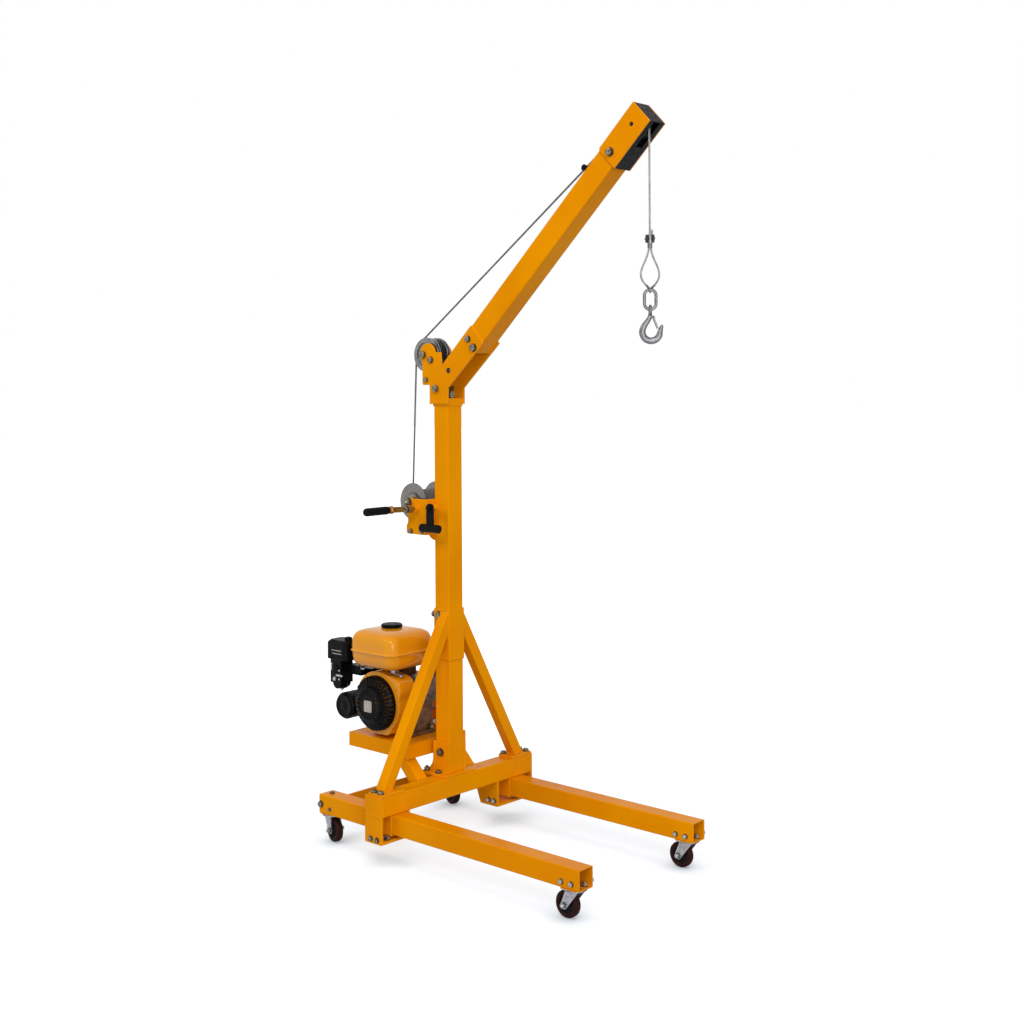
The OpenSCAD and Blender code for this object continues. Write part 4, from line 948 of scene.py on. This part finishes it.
# A dark steel bush in the lock hole: painted shade for the hole's dark inside.
hole_shade_bush = turned("lock_bush", [
    (3.8, -36.6), (5.4, -38.2), (8.2, -38.9), (8.8, -38.1), (6.9, -37.9), (6.9, -33.1), (3.8, -33.1),
    (3.8, -36.6)], 36, (0, 1, 0), spot(41, 0, 1472))
finished(hole_shade_bush, dark_steel, "base", 30)

# --------------------------------------
# Boom and its tip
# A square tube bolted to the head plates, with two tip plates welded on and a black liner
# between them. The rope crosses it over a black roller that turns between two cheeks.
# --------------------------------------

for part in ("boom", "tip_plates"):
    eased(part, orange_enamel, 0.9)
eased("tip_liner", black_plastic, 0.8)
BOOM_LEAN = radians(43.6)


def on_boom(u, y, v):
    """A place u along the boom and v above its middle."""
    return spot(11 + u * cos(BOOM_LEAN) - v * sin(BOOM_LEAN), y,
                1488 + u * sin(BOOM_LEAN) + v * cos(BOOM_LEAN))


bolted("tip_bolts", [(bolt_12, on_boom(895, -37, -36), "-y"), (nut_12, on_boom(895, 37, -36), "+y")])
roller = turned("roller_and_cheeks", both_ends([
    (0.001, -32), (9.2, -32), (9.7, -31.5), (9.7, -28.5), (9.2, -28), (8.2, -27.5), (8.4, -8),
    (7.4, 0)]), 40, (0, 1, 0), on_boom(800, 0, 9))
finished(roller, black_plastic, "base", 40)
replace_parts(roller, "rope_roller")
welded("boom_welds", [(2.0, on_boom(u, side * 33.6, -68), on_boom(u, side * 33.6, -3))
                      for side in (-1, 1) for u in (872.6, 175.6)])

# --------------------------------------
# Wire rope: on the drum, up the mast, along the boom and down to the hook's eye
# 6 mm steel rope of six strands laid round a core, about 40 mm to a turn, lightly
# greased. It is laid here as it runs, so each strand follows the whole length.
# --------------------------------------

# One rope painted two ways: the hanging rope, its eye and its tail take a paler lit copy of rope_steel,
# and the rope on the drum, mast and boom the darker shaded one.
rope_steel = plated("rope_steel", (0.19, 0.19, 0.195), (0.12, 0.12, 0.12), gloss=0.4)
rope_bright = plated("rope_bright", (0.36, 0.355, 0.34), (0.26, 0.255, 0.24), gloss=0.36, grain=0.1)
ROPE_R = 3.0
outline = bpy.data.curves.new("rope_outline", "CURVE")
lobes = outline.splines.new("POLY")
lobes.points.add(35)
for i, point in enumerate(lobes.points):
    off = radians((i * 10 + 30) % 60 - 30)
    reach = ROPE_R / 3 * (2 * cos(off) + max(0.0, 1 - 4 * sin(off) ** 2) ** 0.5) * MM
    point.co = (reach * cos(radians(i * 10)), reach * sin(radians(i * 10)), 0, 1)
lobes.use_cyclic_u = True
rope_outline = put(bpy.data.objects.new("rope_outline", outline))


def laid_rope(name, points, body, step=3.2, lay=40.0, finish=None):
    """Lays the six strands along points and fixes the rope to its body."""
    places, left = [points[0]], step * MM
    for a, b in zip(points, points[1:]):
        long = (b - a).length
        while left < long:
            places.append(a + (b - a) * (left / long))
            left += step * MM
        left -= long
    places[-1] = points[-1]

    def twisted(path, line):
        path.bevel_mode, path.bevel_object = "OBJECT", rope_outline
        for i, point in enumerate(line):
            point.tilt = 2 * pi * i * step / lay

    return finished(drawn(name, places, twisted), finish or rope_steel, body, 60)


def arc(x, z, r, start, stop, y=0.0):
    """Places about every 3 mm on an arc round (x, z), from start to stop degrees."""
    count = max(4, int(abs(radians(stop - start)) * r / 3))
    return [rim_spot(x, y, z, r, start + (stop - start) * i / count) for i in range(count + 1)]


drum_x, drum_z = centre_of("winch_drum")
sheave_x, sheave_z = centre_of("head_sheave_right")
tip_x, tip_z = centre_of("tip_sheave")
WOUND_R, HEAD_R, TIP_R, ROPE_Y, ROLLER_Y = 34.3, 50.0, 34.0, -21.0, -4.0
roller_x = 11 + 800 * cos(BOOM_LEAN) - 20.3 * sin(BOOM_LEAN)
roller_z = tip_z + 38 * cos(BOOM_LEAN) - 197 * sin(BOOM_LEAN) + 20.3 * cos(BOOM_LEAN)

# The rope's tangents, in degrees: up from the drum, off the head sheave, onto the tip sheave.
up = degrees(atan2(sheave_z - drum_z, sheave_x - drum_x)
             + acos((WOUND_R - HEAD_R) / hypot(sheave_x - drum_x, sheave_z - drum_z)))
off = degrees(atan2(roller_z - sheave_z, roller_x - sheave_x)
              + acos(HEAD_R / hypot(roller_x - sheave_x, roller_z - sheave_z)))
over = 360 + degrees(atan2(roller_z - tip_z, roller_x - tip_x)
                     - acos(TIP_R / hypot(roller_x - tip_x, roller_z - tip_z)))
mast_line_rope = laid_rope(
    "rope_up_the_mast",
    arc(drum_x, drum_z, WOUND_R, up + 345, up, ROPE_Y) + arc(sheave_x, sheave_z, HEAD_R, up, off, ROPE_Y),
    "base")
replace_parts(mast_line_rope, "mast_rope")
boom_line_rope = laid_rope(
    "rope_along_the_boom",
    [arc(sheave_x, sheave_z, HEAD_R, off, off + 1, ROPE_Y)[0], spot(roller_x, ROLLER_Y, roller_z)]
    + arc(tip_x, tip_z, TIP_R, over, 0), "base")
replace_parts(boom_line_rope, "boom_rope")

# The rope on the drum, one turn beside the other from where the standing rope leaves it.
winding = []
for along, turns, name in ((1, 9, "left"), (-1, 3, "right")):
    places = [rim_spot(drum_x, ROPE_Y + along * 6.15 * (i / 60 + 1), drum_z, WOUND_R, up + 50 + i * 6)
              for i in range(turns * 60 + 1)]
    winding.append(laid_rope("wound_rope_" + name, places, BODY_OF["wound_rope"], 3.6))
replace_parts(joined(winding, "rope_on_the_drum"), "wound_rope")

low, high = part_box("hanging_rope")
hang = middle("hanging_rope")
hanging = laid_rope("rope_to_the_hook", [Vector((*hang.xy, high.z)), Vector((*hang.xy, low.z))], "base",
                    finish=rope_bright)
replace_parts(hanging, "hanging_rope")
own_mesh(hanging)

HOOK_TURN = radians(42)
EYE_TOP, LINK_TOP, BIGHT_R, EYE_SWELL = tip_z - 344.2, tip_z - 459.2, 7.8, 24.5


def hung(x, y, z):
    """A place on the hook's line, measured from the rope's middle with the hook square to it."""
    return Vector((hang.x + (x * cos(HOOK_TURN) - y * sin(HOOK_TURN)) * MM,
                   (x * sin(HOOK_TURN) + y * cos(HOOK_TURN)) * MM, z * MM))


def eye_leg(side):
    """One leg of the eye, from the clamp to the link."""
    leg = []
    for i in range(27):
        t = i / 26
        swing = min(max((t - 0.7) / 0.2, 0.0), 1.0)
        leg.append(hung(side * (3.2 * (1 - t) + EYE_SWELL * sin(pi * t**1.6)),
                        side * BIGHT_R * swing * swing * (3 - 2 * swing),
                        EYE_TOP + (LINK_TOP - EYE_TOP) * t))
    return leg


bight = [hung(0, -BIGHT_R * cos(radians(i * 18)), LINK_TOP - BIGHT_R * sin(radians(i * 18)))
         for i in range(1, 10)]
eye = laid_rope("rope_eye_strands", eye_leg(-1) + bight + eye_leg(1)[::-1], BODY_OF["rope_eye"], 2.6,
                finish=rope_bright)
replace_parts(eye, "rope_eye")

# Dark wire laid round the eye's two legs where they pass the link: painted shade for the dark knot there.
eye_shade_wraps = [laid_rope("wrap", eye_leg(side)[-4:], BODY_OF["rope_eye"], 1.6, 9.0, dark_steel)
         for side in (-1, 1)]
for corner in joined(eye_shade_wraps, "rope_wrapping").data.vertices:
    corner.co += corner.normal * 0.9 * MM

# --------------------------------------
# Clamp, link, hook and latch
# The rope's end is turned back and gripped by a clamp with two dark jaws and their nuts.
# A round link carries a drop-forged hook, smooth and dull, with a latch bent from sheet.
# --------------------------------------

forged = plated("forged_steel", (0.175, 0.175, 0.185), (0.135, 0.135, 0.14), 1.0, 0.33, 0.02, 0.1)
CLAMP_TOP = tip_z - 308
laid_rope("rope_tail", [hung(6.4, 0, CLAMP_TOP - 2), hung(6.4, 0, CLAMP_TOP + 15.6)],
          BODY_OF["rope_clamp"], 2.6, finish=rope_bright)
bpy.data.objects.remove(rope_outline)
saddle = [slab("clamp_body", Vector((-5.2, -10.5, -25)) * MM, Vector((5.2, 10.5, 2)) * MM, 1.4, 3.5, "z"),
          turned("clamp_neck", [(0.001, -36), (6.2, -36), (7, -35), (7, -29), (6.2, -28), (7, -26.5),
                                (7, -20), (0.001, -20)], 36)]
clamp_nut = hexagon("clamp_nut", 8.6, 4.4)
gripping = []
for side, low, high in ((-1, -12.5, -5), (1, 5, 12.5)):
    gripping.append(slab("clamp_jaw", Vector((low, -7, -21)) * MM, Vector((high, 7, 1)) * MM, 1.2, 2.0))
    gripping += [copied(clamp_nut, Vector((side * 9.4, y, -10)) * MM, way, 30)
                 for way, y in (("+y", 6.6), ("-y", -6.6))]
bpy.data.objects.remove(clamp_nut)
at_clamp = Matrix.Translation((hang.x, 0, CLAMP_TOP * MM)) @ Matrix.Rotation(HOOK_TURN, 4, "Z")
saddle, gripping = joined(saddle, "rope_clamp_body"), joined(gripping, "rope_clamp_nuts")
for piece, finish in ((saddle, forged), (gripping, dark_steel)):
    piece.data.transform(at_clamp)
    finished(piece, finish, BODY_OF["rope_clamp"], 35)
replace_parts(saddle, "rope_clamp")
eased("link", forged, 0.1, angle=80)
eased("hook_latch", rope_steel, 0.25)

hook = cad_copy("hook", "forged_hook")
skin = hook.modifiers.new("skin", "REMESH")
skin.mode, skin.voxel_size, skin.use_smooth_shade = "VOXEL", 0.9 * MM, True
soften = hook.modifiers.new("soften", "SMOOTH")
soften.factor, soften.iterations = 0.5, 12
for step in ("skin", "soften"):
    bpy.ops.object.modifier_apply(modifier=step)
finished(hook, forged, BODY_OF["hook"], 60)
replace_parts(hook, "hook")

for model in (bolt_10, nut_10, bolt_8, nut_8, bolt_12, nut_12, bolt_6, *RINGS.values()):
    bpy.data.objects.remove(model)

# --------------------------------------
# Floor, lamps and camera
# A pale studio floor that keeps the crane's shadow, a large soft lamp high in front, a
# tall box and a thin strip low beside it, a lamp on the left, and an even white surround.
# --------------------------------------

bpy.ops.object.select_all(action="DESELECT")
bpy.ops.mesh.primitive_plane_add(size=60, location=(0, 0, cad_box[0].z - 0.0002))
floor = bpy.context.object
floor.name = "studio_floor"
floor_finish, tree, shader, places = blank_finish("floor_white", specular=0.0)
shader.inputs["Base Color"].default_value = (0.40, 0.44, 0.50, 1)
shader.inputs["Roughness"].default_value = 0.9


def pale_rays(tree):
    """1 for what the camera, metal or glass sees; 0 for light that falls on things."""
    rays = tree.nodes.new("ShaderNodeLightPath").outputs
    seen = rays["Is Camera Ray"]
    for key in ("Is Glossy Ray", "Is Transmission Ray"):
        seen = node(tree, "ShaderNodeMath", {0: seen, 1: rays[key]}, operation="MAXIMUM")
    return seen


# The floor's glow for camera, metal and glass rises from 0.74 near the crane to full white past 2.4 m,
# and ambient occlusion cuts it near the wheels and legs: painted contact shadows.
far = node(tree, "ShaderNodeVectorMath", {0: places}, "Value", operation="LENGTH")
contact_shade_ao = node(tree, "ShaderNodeAmbientOcclusion", {"Distance": 0.10}, "AO", samples=8)
shade = node(tree, "ShaderNodeMath", {0: graded(tree, far, 0.7, 2.4, 0.74, 1.0),
                                      1: graded(tree, contact_shade_ao, 0.3, 1.0, 0.35, 1.0)}, operation="MULTIPLY")
lift = node(tree, "ShaderNodeMath", {0: pale_rays(tree), 1: shade}, operation="MULTIPLY")
glow = node(tree, "ShaderNodeEmission", {"Strength": lift})
both = node(tree, "ShaderNodeAddShader", {0: shader.outputs[0], 1: glow})
tree.links.new(both, tree.nodes["Material Output"].inputs["Surface"])
floor.data.materials.append(floor_finish)

surround = bpy.data.worlds.new("white_surround")
bpy.context.scene.world = surround
surround.use_nodes = True
tree = surround.node_tree
sky = tree.nodes["Background"]
sky.inputs["Color"].default_value = (1, 1, 1, 1)
tree.links.new(graded(tree, pale_rays(tree), 0.0, 1.0, 0.50, 1.0), sky.inputs["Strength"])


LAMP_AIM = Vector((0, 0, 1.1))


def soft_lamp(name, at, size, power, tall=0.0):
    """A soft box aimed at the mast: square, or as tall as it is told."""
    lamp = bpy.data.lights.new(name, "AREA")
    lamp.shape, lamp.size, lamp.energy = "RECTANGLE" if tall else "SQUARE", size, power
    lamp.size_y = tall or size
    holder = put(bpy.data.objects.new(name, lamp))
    holder.location = at
    holder.rotation_euler = (LAMP_AIM - Vector(at)).to_track_quat("-Z", "Y").to_euler()


soft_lamp("key_lamp", (4.6, -5.0, 6.4), 3.4, 236)
soft_lamp("front_box", (6.2, -3.6, 1.5), 2.2, 108, 2.8)
soft_lamp("edge_strip", (4.4, -4.3, 1.5), 0.2, 34, 3.0)
soft_lamp("left_lamp", (-2.6, -4.6, 4.9), 1.8, 72)

lens = bpy.data.cameras.new("view")
lens.sensor_width, lens.lens, lens.shift_y = 36.0, 49.2, -0.1265
camera = put(bpy.data.objects.new("view", lens))
camera.location = (2.9079, -3.134, 1.4335)
level_look = Vector((-0.672, 0.741, 0)).to_track_quat("-Z", "Y").to_matrix().to_4x4()
camera.matrix_world = (
    Matrix.Translation(camera.location) @ level_look @ Matrix.Rotation(radians(-0.33), 4, "Z"))
bpy.context.scene.camera = camera
bpy.context.scene.view_settings.view_transform = "Standard"
